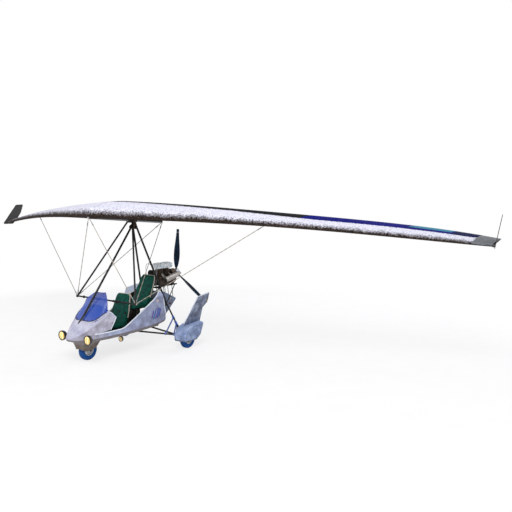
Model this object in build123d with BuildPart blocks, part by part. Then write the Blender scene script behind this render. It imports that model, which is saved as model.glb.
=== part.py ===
"""Motor glider: a two-seat pod on three wheels that hangs under a tailless flexible wing."""
import math
import os

from build123d import *

# Frame: millimetres, +X to port, -Y forward, +Z up, ground at z = 0, symmetry plane x = 0.

# Driving dimensions
WHEELBASE = 1680
TRACK = 1724
MAIN_AXLE_Y = 400
TYRE_R = 180
TYRE_HALF_W = 52
RIM_R = 98
AXLE_R = 12
RUN_GAP = 0.05
FIT_GAP = 0.2
POD_WALL = 8
BEAM_R = 30
BEAM_Z = 335
STEER_TRAIL = 30
KEEL_R = 22
HANG_BOLT = (0, -100, 2360)
PROP_R = 886
PROP_HUB = (0, 1040, 1330)
PROP_PHASE = 4.3
BAR_HALF = 776
SPAT_HALF_W = 140

NOSE_AXLE_Y = MAIN_AXLE_Y - WHEELBASE
STEER_Y = NOSE_AXLE_Y - STEER_TRAIL
WHEEL_X = TRACK / 2
SIDES = (1, -1)
DRAWN_BASE = 1680


def fore(y):
    """Station y as drawn, stretched about the main axle when the wheelbase changes."""
    return MAIN_AXLE_Y + (y - MAIN_AXLE_Y) * WHEELBASE / DRAWN_BASE


# Pod sections: station y, half width, flat half width, belly z, bilge rise, shoulder z, crown z
POD_SECTIONS = (
    (fore(-1706), 28, 14, 434, 10, 454, 466),
    (fore(-1690), 66, 36, 414, 20, 462, 490),
    (fore(-1655), 106, 62, 396, 32, 478, 526),
    (fore(-1590), 162, 98, 381, 46, 512, 588),
    (fore(-1500), 226, 140, 371, 55, 566, 664),
    (fore(-1380), 292, 184, 366, 64, 650, 770),
    (fore(-1230), 342, 218, 366, 71, 758, 916),
    (fore(-1050), 371, 240, 366, 75, 860, 1060),
    (fore(-800), 385, 248, 367, 79, 890, 1098),
    (fore(-450), 389, 250, 370, 80, 915, 1115),
    (fore(-100), 383, 243, 381, 80, 950, 1128),
    (fore(150), 370, 228, 402, 76, 980, 1135),
    (fore(345), 352, 208, 436, 70, 1010, 1140),
)

# Sail sections: span x, leading edge y, chord, leading edge z, thickness, camber, twist degrees
SAIL_SECTIONS = (
    (0, -1220, 2050, 2570, 0.170, 0.060, 4.0),
    (600, -1000, 1980, 2556, 0.165, 0.060, 4.0),
    (3000, -80, 1450, 2442, 0.135, 0.050, 0.5),
    (5200, 820, 950, 2252, 0.105, 0.036, -6.0),
    (5930, 1165, 650, 2176, 0.090, 0.030, -8.5),
    (6200, 1300, 525, 2150, 0.078, 0.020, -9.0),
)


def rod(start, end, radius):
    """Add a round bar from start to end."""
    run = Vector(*end) - Vector(*start)
    with BuildPart(Plane(origin=start, z_dir=run)) as bar:
        Cylinder(radius, run.length, align=(Align.CENTER, Align.CENTER, Align.MIN))
    return bar.part


def between(start, end, part):
    """Point at the given part of the way from start to end."""
    return tuple(a + (b - a) * part for a, b in zip(start, end))


def pod_body(inset):
    """Closed pod form, taken in by inset on every side."""
    first = POD_SECTIONS[0][0]
    last = POD_SECTIONS[-1][0]
    with BuildPart() as body:
        for y, half, flat, belly, rise, shoulder, crown in POD_SECTIONS:
            at = y
            if inset and y == first:
                at = y + 2 * inset
            if inset and y == last:
                at = y + 40
            w = half - inset
            f = flat - 0.6 * inset
            low = belly + inset
            top = crown - inset
            bend = (w - 0.3 * (w - f), low + 0.3 * rise)
            with BuildSketch(Plane(origin=(0, at, 0), x_dir=(1, 0, 0), z_dir=(0, -1, 0))):
                with BuildLine():
                    Line((-f, low), (f, low))
                    ThreePointArc((f, low), bend, (w, low + rise))
                    Line((w, low + rise), (w, shoulder))
                    ThreePointArc((w, shoulder), (0, top), (-w, shoulder))
                    Line((-w, shoulder), (-w, low + rise))
                    ThreePointArc((-w, low + rise), (-bend[0], bend[1]), (-f, low))
                make_face()
        loft(ruled=True)
    return body.part


def side_plate(points, half_width, radius):
    """Solid from a side outline of (y, z) points, as thick as twice half_width across x = 0."""
    with BuildPart() as plate:
        with BuildSketch(Plane.YZ):
            with BuildLine():
                FilletPolyline(*points, radius=radius, close=True)
            make_face()
        extrude(amount=half_width, both=True)
    return plate.part


def sail_outline(section):
    """Draw one wing section: nose arc, upper arc, trailing edge, lower arc."""
    x, lead, chord, z, thick, camber, twist = section
    turn = math.radians(twist)

    def at(along, up):
        back = along * chord
        rise = up * chord
        return (
            lead + back * math.cos(turn) + rise * math.sin(turn),
            z - back * math.sin(turn) + rise * math.cos(turn),
        )

    nose_up = at(0.05, 0.265 * camber + 0.296 * thick)
    nose_low = at(0.03, 0.165 * camber - 0.235 * thick)
    top = at(0.40, 0.99 * camber + 0.48 * thick)
    low = at(0.50, 0.95 * camber - 0.44 * thick)
    tail_up = at(1, 3 / chord)
    tail_low = at(1, -3 / chord)
    with BuildSketch(Plane.YZ.offset(x)) as outline:
        with BuildLine():
            ThreePointArc(nose_low, at(0, 0), nose_up)
            ThreePointArc(nose_up, top, tail_up)
            Line(tail_up, tail_low)
            ThreePointArc(tail_low, low, nose_low)
        make_face()
    return outline.sketch


pod_outer = pod_body(0)
pod_clear = pod_body(-FIT_GAP)
pod_inner = pod_body(POD_WALL)
pod_inside = pod_body(POD_WALL + FIT_GAP)

# Wheels: tyre section and rim section are turned about each axle
WHEELS = (
    # name, x, axle y
    ("left", WHEEL_X, MAIN_AXLE_Y),
    ("right", -WHEEL_X, MAIN_AXLE_Y),
    ("nose", 0, NOSE_AXLE_Y),
)
wheel_parts = {}
for wheel_name, wheel_x, wheel_y in WHEELS:
    centre = (wheel_x, wheel_y, TYRE_R)
    across = Plane(origin=centre, x_dir=(1, 0, 0), z_dir=(0, -1, 0))
    axle = Axis(centre, (1, 0, 0))
    bead = 40
    tread = TYRE_R - 14
    wall_mid = (RIM_R + tread) / 2
    with BuildPart() as tyre:
        with BuildSketch(across):
            with BuildLine():
                Line((-bead, RIM_R), (bead, RIM_R))
                ThreePointArc((bead, RIM_R), (TYRE_HALF_W, wall_mid), (44, tread))
                ThreePointArc((44, tread), (0, TYRE_R), (-44, tread))
                ThreePointArc((-44, tread), (-TYRE_HALF_W, wall_mid), (-bead, RIM_R))
            make_face()
        revolve(axis=axle)
    bore = AXLE_R + RUN_GAP
    lip = RIM_R - FIT_GAP
    with BuildPart() as rim:
        with BuildSketch(across):
            with BuildLine():
                Polyline(
                    (-45, bore),
                    (45, bore),
                    (45, 30),
                    (9, 34),
                    (9, 78),
                    (40, 84),
                    (40, lip),
                    (-40, lip),
                    (-40, 84),
                    (-9, 78),
                    (-9, 34),
                    (-45, 30),
                    close=True,
                )
            make_face()
        revolve(axis=axle)
        with BuildSketch(Plane(origin=centre, x_dir=(0, 1, 0), z_dir=(1, 0, 0))):
            with PolarLocations(56, 6):
                Circle(13)
        extrude(amount=12, both=True, mode=Mode.SUBTRACT)
    wheel_parts[wheel_name] = (tyre, rim)

left_tyre, left_rim = wheel_parts["left"]
right_tyre, right_rim = wheel_parts["right"]
nose_tyre, nose_rim = wheel_parts["nose"]

# Nose fork: crown, two legs, axle, stem and foot bar, all turning about the upright steering axis
CROWN_Z = 385
STEM_R = 18
LEG_X = 76
HEAD_LOW = 470
HEAD_TOP = 565
with BuildPart() as nose_fork:
    with BuildSketch(Plane.XY.offset(CROWN_Z)):
        with Locations((0, (NOSE_AXLE_Y + STEER_Y) / 2)):
            RectangleRounded(2 * LEG_X + 24, 90, 20)
    extrude(amount=22)
    for side in SIDES:
        add(rod((side * LEG_X, NOSE_AXLE_Y, TYRE_R), (side * LEG_X, NOSE_AXLE_Y, CROWN_Z + 8), 11))
        with Locations((side * LEG_X, NOSE_AXLE_Y, TYRE_R)):
            Cylinder(20, 20, rotation=(0, 90, 0))
    add(rod((-LEG_X, NOSE_AXLE_Y, TYRE_R), (LEG_X, NOSE_AXLE_Y, TYRE_R), AXLE_R))
    add(rod((0, STEER_Y, CROWN_Z), (0, STEER_Y, HEAD_TOP + 40), STEM_R))
    add(rod((-215, STEER_Y, HEAD_TOP + 28), (215, STEER_Y, HEAD_TOP + 28), 12))

# Main beam under the pod, with a riser and a steering head at the nose and a tow socket at the tail
ARCH_REAR = NOSE_AXLE_Y + 205
BEAM_FRONT = ARCH_REAR + 35
BEAM_REAR = 480
NECK_Z = 515
TOW_R = 24
TOW_DEEP = 120
with BuildPart() as main_beam:
    add(rod((0, BEAM_FRONT, BEAM_Z), (0, BEAM_REAR, BEAM_Z), BEAM_R))
    add(rod((0, BEAM_FRONT + 22, BEAM_Z), (0, BEAM_FRONT + 22, NECK_Z), 22))
    with Locations((0, BEAM_FRONT + 22, NECK_Z)):
        Sphere(22)
    add(rod((0, BEAM_FRONT + 22, NECK_Z), (0, STEER_Y, NECK_Z), 22))
    add(rod((0, STEER_Y, HEAD_LOW), (0, STEER_Y, HEAD_TOP), 30))
    with Locations((0, fore(-700), BEAM_Z + 40), (0, 60, BEAM_Z + 40)):
        Box(110, 90, 80)
    with BuildPart(mode=Mode.SUBTRACT):
        add(pod_clear)
        with Locations((0, BEAM_FRONT - 130, 0)):
            Box(200, 420, 3000, mode=Mode.SUBTRACT)
    add(rod((0, STEER_Y, 0), (0, STEER_Y, 900), STEM_R + RUN_GAP), mode=Mode.SUBTRACT)
    add(rod((0, BEAM_REAR - TOW_DEEP, BEAM_Z), (0, BEAM_REAR + 1, BEAM_Z), TOW_R), mode=Mode.SUBTRACT)

# Wheel arch under the nose: a rounded cover, open below and behind, that the wheel steers inside
ARCH_HALF = 150
ARCH_WALL = 7
ARCH_ROUND = 140
ARCH_ROOF = 445
ARCH_FRONT = NOSE_AXLE_Y - 226
ARCH_OUT = (
    (ARCH_FRONT, ARCH_ROOF),
    (ARCH_FRONT, 330),
    (ARCH_FRONT + 60, 200),
    (NOSE_AXLE_Y - 50, 200),
    (ARCH_REAR, 372),
    (ARCH_REAR, ARCH_ROOF),
)
ARCH_IN = (
    (ARCH_FRONT + ARCH_WALL, ARCH_ROOF - ARCH_WALL),
    (ARCH_FRONT + ARCH_WALL, 330),
    (ARCH_FRONT + 60, 150),
    (ARCH_REAR + 75, 150),
    (ARCH_REAR + 75, ARCH_ROOF - ARCH_WALL),
)
ARCH_ROOM = (
    (ARCH_FRONT - FIT_GAP, 520),
    (ARCH_FRONT - FIT_GAP, 100),
    (ARCH_REAR + FIT_GAP, 100),
    (ARCH_REAR + FIT_GAP, 520),
)


def arch_body(points, half_width, nose_round, grow):
    """Arch form with its front upright edges rounded."""
    with BuildPart() as body:
        with BuildSketch(Plane.YZ):
            with BuildLine():
                Polyline(*points, close=True)
            make_face()
        extrude(amount=half_width + grow, both=True)
        with BuildSketch(Plane.XY):
            with Locations((0, points[0][0] - grow + 400)):
                RectangleRounded(2 * (half_width + grow), 800, nose_round)
        extrude(amount=900, mode=Mode.INTERSECT)
    return body.part


with BuildPart() as wheel_arch:
    add(arch_body(ARCH_OUT, ARCH_HALF, ARCH_ROUND, 0))
    add(arch_body(ARCH_IN, ARCH_HALF - ARCH_WALL, ARCH_ROUND - ARCH_WALL, 0), mode=Mode.SUBTRACT)
    with Locations((0, STEER_Y, ARCH_ROOF)):
        Cylinder(STEM_R + 8, 60, mode=Mode.SUBTRACT)
# Pod tub: the lower shell, open on top along the sill and open at the tail
SILL = ((fore(-1800), 500), (fore(-765), 520), (fore(262), 1074))
TAIL_EDGE = (fore(345), 620)
with BuildPart() as pod_tub:
    add(pod_outer)
    add(pod_inner, mode=Mode.SUBTRACT)
    with BuildSketch(Plane.YZ):
        with BuildLine():
            edge = FilletPolyline(*SILL, radius=500)
            Polyline(edge @ 1, TAIL_EDGE, (fore(420), 620), (fore(420), 200), (fore(-1800), 200), edge @ 0)
        make_face()
    extrude(amount=600, both=True, mode=Mode.INTERSECT)
    add(arch_body(ARCH_ROOM, ARCH_HALF, ARCH_ROUND, FIT_GAP), mode=Mode.SUBTRACT)
    with Locations((0, BEAM_FRONT + 22, 380)):
        Cylinder(22.5, 120, mode=Mode.SUBTRACT)

# Windscreen: a tapering curved sheet; the cowl is cut to its outer face
SCREEN_T = 5
SCREEN_SLOPE = math.degrees(math.atan2(200, 360))
# y and z of the centre line, half width, depth of the bow
SCREEN_SECTIONS = (
    (fore(-1455), 655, 330, 410),
    (fore(-1137), 1000, 274, 102),
    (fore(-966), 1163, 122, 30),
)
SCREEN_TOP = 1176
# x and z of the screen's rounded front view, to port
SCREEN_VIEW = ((420, 200), (420, 900), (305, 1070), (134, SCREEN_TOP))


def screen_body(inset):
    """Closed form behind the windscreen's outer face, taken in by inset."""
    slope = math.radians(SCREEN_SLOPE)
    with BuildPart() as body:
        for y, z, half, bow in SCREEN_SECTIONS:
            lean = Plane(origin=(0, y, z), x_dir=(1, 0, 0), z_dir=(0, -math.sin(slope), math.cos(slope)))
            w = half - inset
            with BuildSketch(lean):
                with BuildLine():
                    ThreePointArc((-w, bow), (0, inset), (w, bow))
                    Line((w, bow), (-w, bow))
                make_face()
        loft(ruled=True)
    return body.part


with BuildPart() as windscreen:
    add(screen_body(0))
    add(screen_body(SCREEN_T), mode=Mode.SUBTRACT)
    with BuildSketch(Plane.XZ):
        with BuildLine():
            mirrored = [(-x, z) for x, z in reversed(SCREEN_VIEW)]
            FilletPolyline(*SCREEN_VIEW, *mirrored, radius=52, close=True)
        make_face()
    extrude(amount=3000, both=True, mode=Mode.INTERSECT)

# Nose cowl: the upper shell ahead of the cockpit, ending in a pointed lip
LIP = (
    (fore(-1375), 510),
    (fore(-1062), 551),
    (fore(-985), 674),
    (fore(-942), 755),
    (fore(-1020), 832),
    (fore(-1075), 888),
)
with BuildPart() as nose_cowl:
    add(pod_outer)
    add(pod_inner, mode=Mode.SUBTRACT)
    with BuildSketch(Plane.YZ):
        with BuildLine():
            Polyline(
                (fore(-1800), 500 + FIT_GAP),
                *LIP,
                (fore(-1425), 684),
                (fore(-1425), 900),
                (fore(-1800), 900),
                close=True,
            )
        make_face()
    extrude(amount=600, both=True, mode=Mode.INTERSECT)
    add(screen_body(-FIT_GAP), mode=Mode.SUBTRACT)

# Instrument panel across the cockpit, arched along the top
PANEL_Y = fore(-1062)
with BuildPart() as instrument_panel:
    with BuildSketch(Plane(origin=(0, PANEL_Y, 0), x_dir=(1, 0, 0), z_dir=(0, -1, 0))):
        with BuildLine():
            Line((-400, 700), (400, 700))
            Line((400, 700), (400, 840))
            ThreePointArc((400, 840), (0, 962), (-400, 840))
            Line((-400, 840), (-400, 700))
        make_face()
    extrude(amount=14)
    add(pod_inside, mode=Mode.INTERSECT)
    add(windscreen.part, mode=Mode.SUBTRACT)

# Lamps: two on stalks beside the nose and one under the belly
LAMPS = (
    # x, y, z, radius
    (340, fore(-1522), 447, 88),
    (-340, fore(-1522), 447, 88),
    (0, -480, 226, 52),
)
with BuildPart() as lamp_housings:
    for lamp_x, lamp_y, lamp_z, lamp_r in LAMPS:
        with BuildSketch(Plane(origin=(lamp_x, lamp_y, lamp_z), x_dir=(1, 0, 0), z_dir=(0, 0, 1))):
            with BuildLine():
                Line((0, 0.55 * lamp_r), (0.3 * lamp_r, 0.55 * lamp_r))
                ThreePointArc(
                    (0.3 * lamp_r, 0.55 * lamp_r), (0.8 * lamp_r, 0.22 * lamp_r), (lamp_r, -0.33 * lamp_r)
                )
                Polyline(
                    (lamp_r, -0.33 * lamp_r),
                    (lamp_r, -0.55 * lamp_r),
                    (0.8 * lamp_r, -0.55 * lamp_r),
                    (0.8 * lamp_r, -0.2 * lamp_r),
                    (0, -0.2 * lamp_r),
                    (0, 0.55 * lamp_r),
                )
            make_face()
        revolve(axis=Axis((lamp_x, lamp_y, lamp_z), (0, 1, 0)))
        if lamp_x:
            add(rod((lamp_x, lamp_y + 20, lamp_z), (lamp_x * 0.4, lamp_y + 20, lamp_z), 10))
        else:
            add(rod((0, lamp_y + 15, lamp_z), (0, lamp_y + 15, BEAM_Z), 9))
    add(pod_clear, mode=Mode.SUBTRACT)
    add(rod((0, -900, BEAM_Z), (0, 0, BEAM_Z), BEAM_R + FIT_GAP), mode=Mode.SUBTRACT)

with BuildPart() as lamp_lenses:
    for lamp_x, lamp_y, lamp_z, lamp_r in LAMPS:
        glass = 0.8 * lamp_r - FIT_GAP
        seat = -0.2 * lamp_r - FIT_GAP
        edge_y = -0.5 * lamp_r
        sag = 0.22 * lamp_r
        bow_r = (glass**2 + sag**2) / (2 * sag)
        mid_y = edge_y - sag + bow_r - math.sqrt(bow_r**2 - (glass / 2) ** 2)
        with BuildSketch(Plane(origin=(lamp_x, lamp_y, lamp_z), x_dir=(1, 0, 0), z_dir=(0, 0, 1))):
            with BuildLine():
                Polyline((0, edge_y - sag), (0, seat), (glass, seat), (glass, edge_y))
                ThreePointArc((glass, edge_y), (glass / 2, mid_y), (0, edge_y - sag))
            make_face()
        revolve(axis=Axis((lamp_x, lamp_y, lamp_z), (0, 1, 0)))

# Pylon: two legs in an upright V, a foot frame on the beam and a cross tube for the engine
FOOT = (320, 410, 800)
HEAD = (46, -92, 2318)
ENGINE_TUBE_Z = 1110
LEG_R = 18.5
leg_part = (HEAD[2] - ENGINE_TUBE_Z) / (HEAD[2] - FOOT[2])
tube_end = between(HEAD, FOOT, leg_part)
with BuildPart() as pylon:
    for side in SIDES:
        foot = (side * FOOT[0], FOOT[1], FOOT[2])
        add(rod(foot, (side * HEAD[0], HEAD[1], HEAD[2]), LEG_R))
        with Locations(foot):
            Sphere(LEG_R)
        add(rod(foot, (side * 16, FOOT[1], BEAM_Z), 16))
    add(rod((-FOOT[0], FOOT[1], FOOT[2]), FOOT, 18))
    add(rod((-tube_end[0], tube_end[1], tube_end[2]), tube_end, 16))
    add(rod((0, 0, BEAM_Z), (0, 900, BEAM_Z), BEAM_R + FIT_GAP), mode=Mode.SUBTRACT)
    with Locations((0, HEAD[1], HEAD[2])):
        Box(2 * 38 + 2 * FIT_GAP, 400, 400, mode=Mode.SUBTRACT)

# Front strut from a foot on the nose cowl up to the hang bracket
STRUT_R = 19
STRUT_FOOT = (0, fore(-1442), 684)
STRUT_TOP = (0, -176, 2312)
with BuildPart() as front_strut:
    add(rod(between(STRUT_FOOT, STRUT_TOP, -0.03), STRUT_TOP, STRUT_R))
    add(rod(between(STRUT_FOOT, STRUT_TOP, -0.03), between(STRUT_FOOT, STRUT_TOP, 0.03), STRUT_R + 10))
    add(pod_clear, mode=Mode.SUBTRACT)
    add(screen_body(-2), mode=Mode.SUBTRACT)

# Hang bracket: two cheeks on the pylon and strut, with the hang bolt across them
CHEEK_IN = 30
CHEEK_OUT = 38
BOLT_R = 8
with BuildPart() as hang_bracket:
    for side in SIDES:
        middle = side * (CHEEK_IN + CHEEK_OUT) / 2
        with BuildSketch(Plane.YZ.offset(middle)):
            with Locations((HANG_BOLT[1], HANG_BOLT[2])):
                Circle(26)
            with Locations((STRUT_TOP[1] + 6, STRUT_TOP[2] - 4)):
                Circle(30)
            with Locations((HEAD[1] + 8, HEAD[2] - 20)):
                Circle(32)
            make_hull()
        extrude(amount=(CHEEK_OUT - CHEEK_IN) / 2, both=True)
    add(rod((-50, HANG_BOLT[1], HANG_BOLT[2]), (50, HANG_BOLT[1], HANG_BOLT[2]), BOLT_R))
    with Locations((44, HANG_BOLT[1], HANG_BOLT[2]), (-44, HANG_BOLT[1], HANG_BOLT[2])):
        Cylinder(15, 12, rotation=(0, 90, 0))
    pin = rod((-CHEEK_OUT, STRUT_TOP[1], STRUT_TOP[2]), (CHEEK_OUT, STRUT_TOP[1], STRUT_TOP[2]), 8)
    add(pin)
    add(front_strut.part, mode=Mode.SUBTRACT)

# Main gear: two tubes and a strut to each knuckle plate, and the stub axle beyond it
PLATE_IN = WHEEL_X - SPAT_HALF_W - 20
PLATE_OUT = WHEEL_X - SPAT_HALF_W - 0.5
KNUCKLE = (270, 255)
STRUT_LOW = (300, 405)
GEAR_TUBE_R = 16
GEAR_STRUT_R = 15


def gear_lines(side):
    """Ends of the front tube, the rear tube and the strut on one side."""
    plate = side * (PLATE_IN + PLATE_OUT) / 2
    knuckle = (plate, KNUCKLE[0], KNUCKLE[1])
    front = ((side * 12, -200, BEAM_Z - 4), knuckle)
    rear = ((side * 12, 250, BEAM_Z - 2), knuckle)
    strut = ((side * (FOOT[0] + 8), FOOT[1], FOOT[2] - 6), (plate, STRUT_LOW[0], STRUT_LOW[1]))
    return front, rear, strut


with BuildPart() as main_gear:
    for side in SIDES:
        plate_mid = side * (PLATE_IN + PLATE_OUT) / 2
        front_tube, rear_tube, gear_strut = gear_lines(side)
        add(rod(*front_tube, GEAR_TUBE_R))
        add(rod(*rear_tube, GEAR_TUBE_R))
        add(rod(*gear_strut, GEAR_STRUT_R))
        with BuildSketch(Plane.YZ.offset(plate_mid)):
            with Locations(KNUCKLE, STRUT_LOW):
                Circle(30)
            with Locations((MAIN_AXLE_Y, TYRE_R)):
                Circle(26)
            make_hull()
        extrude(amount=(PLATE_OUT - PLATE_IN) / 2, both=True)
        stub = (side * (WHEEL_X + 62), MAIN_AXLE_Y, TYRE_R)
        add(rod((plate_mid, MAIN_AXLE_Y, TYRE_R), stub, AXLE_R))
        with Locations((side * (WHEEL_X + 56), MAIN_AXLE_Y, TYRE_R)):
            Cylinder(18, 11, rotation=(0, 90, 0))
    add(rod((0, -900, BEAM_Z), (0, 900, BEAM_Z), BEAM_R + FIT_GAP), mode=Mode.SUBTRACT)
    for side in SIDES:
        foot = (side * FOOT[0], FOOT[1], FOOT[2])
        with Locations(foot):
            Sphere(LEG_R + FIT_GAP, mode=Mode.SUBTRACT)
        add(rod(foot, (side * HEAD[0], HEAD[1], HEAD[2]), LEG_R + FIT_GAP), mode=Mode.SUBTRACT)
        add(rod(foot, (side * 16, FOOT[1], BEAM_Z), 16 + FIT_GAP), mode=Mode.SUBTRACT)

# Gear brackets: short braces that clamp each strut to the tube below it
BRACES = (
    # part along the strut, part along the front tube, half length of the strut clamp
    (0.60, 0.74, 0.05),
    (0.86, 0.93, 0.09),
)
with BuildPart() as gear_brackets:
    for side in SIDES:
        front_tube, rear_tube, gear_strut = gear_lines(side)
        for on_strut, on_tube, grip in BRACES:
            top = between(*gear_strut, on_strut)
            foot = between(*front_tube, on_tube)
            add(rod(top, foot, 13))
            add(rod(between(*gear_strut, on_strut - grip), between(*gear_strut, on_strut + grip), 23))
            add(rod(between(*front_tube, on_tube - 0.02), between(*front_tube, on_tube + 0.02), 23))
    for side in SIDES:
        front_tube, rear_tube, gear_strut = gear_lines(side)
        add(rod(*gear_strut, GEAR_STRUT_R + FIT_GAP), mode=Mode.SUBTRACT)
        add(rod(*front_tube, GEAR_TUBE_R + FIT_GAP), mode=Mode.SUBTRACT)
        add(rod(*rear_tube, GEAR_TUBE_R + FIT_GAP), mode=Mode.SUBTRACT)

# Wheel spats with a canted fin moulded on, hollow for the wheel and open below
SPAT_OUT = ((170, 150), (172, 285), (262, 412), (410, 462), (690, 482), (735, 450), (640, 235), (520, 150))
SPAT_IN = ((182, 60), (184, 285), (270, 402), (412, 450), (680, 468), (718, 446), (628, 240), (510, 60))
FIN = ((262, 0), (575, 515), (905, 565), (890, 380), (762, 280), (728, -20))
FIN_CANT = 11
spats = {}
for spat_name, side in (("left", 1), ("right", -1)):
    cant = math.radians(FIN_CANT)
    tilt = Plane(
        origin=(side * (WHEEL_X + 18), 0, 465),
        x_dir=(0, 1, 0),
        z_dir=(math.cos(cant), 0, -side * math.sin(cant)),
    )
    with BuildPart() as spat:
        add(side_plate(SPAT_OUT, SPAT_HALF_W, 40))
        fillet(spat.faces().sort_by(Axis.X)[0].edges(), 30)
        fillet(spat.faces().sort_by(Axis.X)[-1].edges(), 30)
    with BuildPart() as hollow:
        add(side_plate(SPAT_IN, SPAT_HALF_W - 9, 34))
        fillet(hollow.faces().sort_by(Axis.X)[0].edges(), 24)
        fillet(hollow.faces().sort_by(Axis.X)[-1].edges(), 24)
    with BuildPart() as spat_fin:
        add(spat.part.moved(Location((side * WHEEL_X, 0, 0))))
        with BuildSketch(tilt):
            with BuildLine():
                Polyline(*FIN, close=True)
            make_face()
        extrude(amount=8, both=True)
        add(hollow.part.moved(Location((side * WHEEL_X, 0, 0))), mode=Mode.SUBTRACT)
        inner_x = side * (WHEEL_X - SPAT_HALF_W)
        with Locations((inner_x, MAIN_AXLE_Y, TYRE_R)):
            Cylinder(AXLE_R + 3, 60, rotation=(0, 90, 0), mode=Mode.SUBTRACT)
        with Locations((inner_x, MAIN_AXLE_Y, TYRE_R - 40)):
            Box(60, 2 * AXLE_R + 6, 80, mode=Mode.SUBTRACT)
    spats[spat_name] = spat_fin
wheel_spat_left = spats["left"]
wheel_spat_right = spats["right"]

# Seats: one-piece pads with a squab and a back, on a bent tube frame
FRONT_SEAT = ((-900, 505), (-900, 565), (-600, 572), (-432, 1092), (-368, 1100), (-541, 505))
REAR_SEAT = ((-400, 790), (-400, 852), (-18, 848), (222, 1372), (286, 1380), (84, 790))
SEAT_HALF = 225
SEAT_TOP_HALF = 168
SEAT_TAPER = 0.42
seats = {}
for seat_name, outline in (("front", FRONT_SEAT), ("rear", REAR_SEAT)):
    low = outline[0][1]
    high = max(z for y, z in outline)
    waist = low + SEAT_TAPER * (high - low)
    with BuildPart() as seat:
        add(side_plate(outline, SEAT_HALF, 28))
        with BuildSketch(Plane.XZ):
            with BuildLine():
                FilletPolyline(
                    (-SEAT_HALF, low - 200),
                    (-SEAT_HALF, waist),
                    (-SEAT_TOP_HALF, high),
                    (SEAT_TOP_HALF, high),
                    (SEAT_HALF, waist),
                    (SEAT_HALF, low - 200),
                    radius=78,
                    close=True,
                )
            make_face()
        extrude(amount=3000, both=True, mode=Mode.INTERSECT)
    seats[seat_name] = seat
front_seat = seats["front"]
rear_seat = seats["rear"]

SEAT_TUBE_R = 14
SEAT_TUBE_X = 150
front_z = FRONT_SEAT[0][1] - SEAT_TUBE_R - FIT_GAP
rear_z = REAR_SEAT[0][1] - SEAT_TUBE_R - FIT_GAP
# the tube runs up behind the rear seat, clear of its back by the fit gap
back_low = REAR_SEAT[5]
back_top = REAR_SEAT[4]
back_slope = (back_top[0] - back_low[0]) / (back_top[1] - back_low[1])
tube_off = (SEAT_TUBE_R + FIT_GAP) * math.sqrt(1 + back_slope**2)
TUBE_TOP_Z = 1250
tube_low_y = back_low[0] + (rear_z - back_low[1]) * back_slope + tube_off
tube_top_y = back_low[0] + (TUBE_TOP_Z - back_low[1]) * back_slope + tube_off
SEAT_LEGS = (
    # y, z of each cross tube and its two legs
    (-850, front_z),
    (-540, front_z),
    (-180, rear_z),
    (30, rear_z),
)
with BuildPart() as seat_frame:
    for side in SIDES:
        x = side * SEAT_TUBE_X
        with BuildLine() as bent:
            FilletPolyline(
                (x, -880, front_z),
                (x, -460, front_z),
                (x, -365, rear_z),
                (x, tube_low_y, rear_z),
                (x, tube_top_y, TUBE_TOP_Z),
                radius=42,
            )
        with BuildSketch(Plane(origin=(x, -880, front_z), z_dir=(0, 1, 0))):
            Circle(SEAT_TUBE_R)
        sweep(path=bent.line)
    for y, z in SEAT_LEGS:
        add(rod((-SEAT_TUBE_X, y, z), (SEAT_TUBE_X, y, z), 12))
    with BuildPart() as legs:
        for y, z in SEAT_LEGS:
            for side in SIDES:
                add(rod((side * SEAT_TUBE_X, y, 300), (side * SEAT_TUBE_X, y, z), 12))
        add(pod_inside, mode=Mode.INTERSECT)
    add(legs.part)

# Engine on its mount rails behind the pylon
CASE_LOW = 1125
CYLINDERS_Y = (545, 725)
with BuildPart() as engine_block:
    with Locations((0, 640, CASE_LOW + 85)):
        Box(260, 400, 170)
    fillet(engine_block.edges().filter_by(Axis.Y), 25)
    for cyl_y in CYLINDERS_Y:
        add(rod((0, cyl_y, CASE_LOW + 160), (0, cyl_y, 1450), 58))
        with Locations(*[(0, cyl_y, CASE_LOW + 186 + 20 * i) for i in range(7)]):
            Cylinder(80, 7)

with BuildPart() as engine_cover:
    with Locations((0, 640, 1502.7)):
        Box(190, 410, 105)
    fillet(engine_cover.edges().filter_by(Axis.Y), 36)
    fillet(engine_cover.faces().sort_by(Axis.Y)[0].edges(), 20)
    fillet(engine_cover.faces().sort_by(Axis.Y)[-1].edges(), 20)
    with Locations((0, 635, 1562)):
        Box(300, 26, 40, mode=Mode.SUBTRACT)

GEARBOX_REAR = 960
SHAFT_R = 20
with BuildPart() as gearbox:
    with BuildSketch(Plane(origin=(0, 840 + FIT_GAP, 0), x_dir=(-1, 0, 0), z_dir=(0, 1, 0))):
        with Locations((0, 1210)):
            Circle(78)
        with Locations((0, PROP_HUB[2])):
            Circle(88)
        make_hull()
    extrude(amount=GEARBOX_REAR - 840)
    add(rod((0, 880, PROP_HUB[2]), (0, 1000, PROP_HUB[2]), SHAFT_R + RUN_GAP), mode=Mode.SUBTRACT)

with BuildPart() as carburettors:
    for cyl_y in CYLINDERS_Y:
        add(rod((-70, cyl_y, 1345), (-150, cyl_y, 1345), 24))
        add(rod((-150, cyl_y, 1345), (-260, cyl_y, 1345), 56))
    with BuildPart(mode=Mode.SUBTRACT):
        for cyl_y in CYLINDERS_Y:
            add(rod((0, cyl_y, 1200), (0, cyl_y, 1500), 80 + FIT_GAP))

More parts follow.
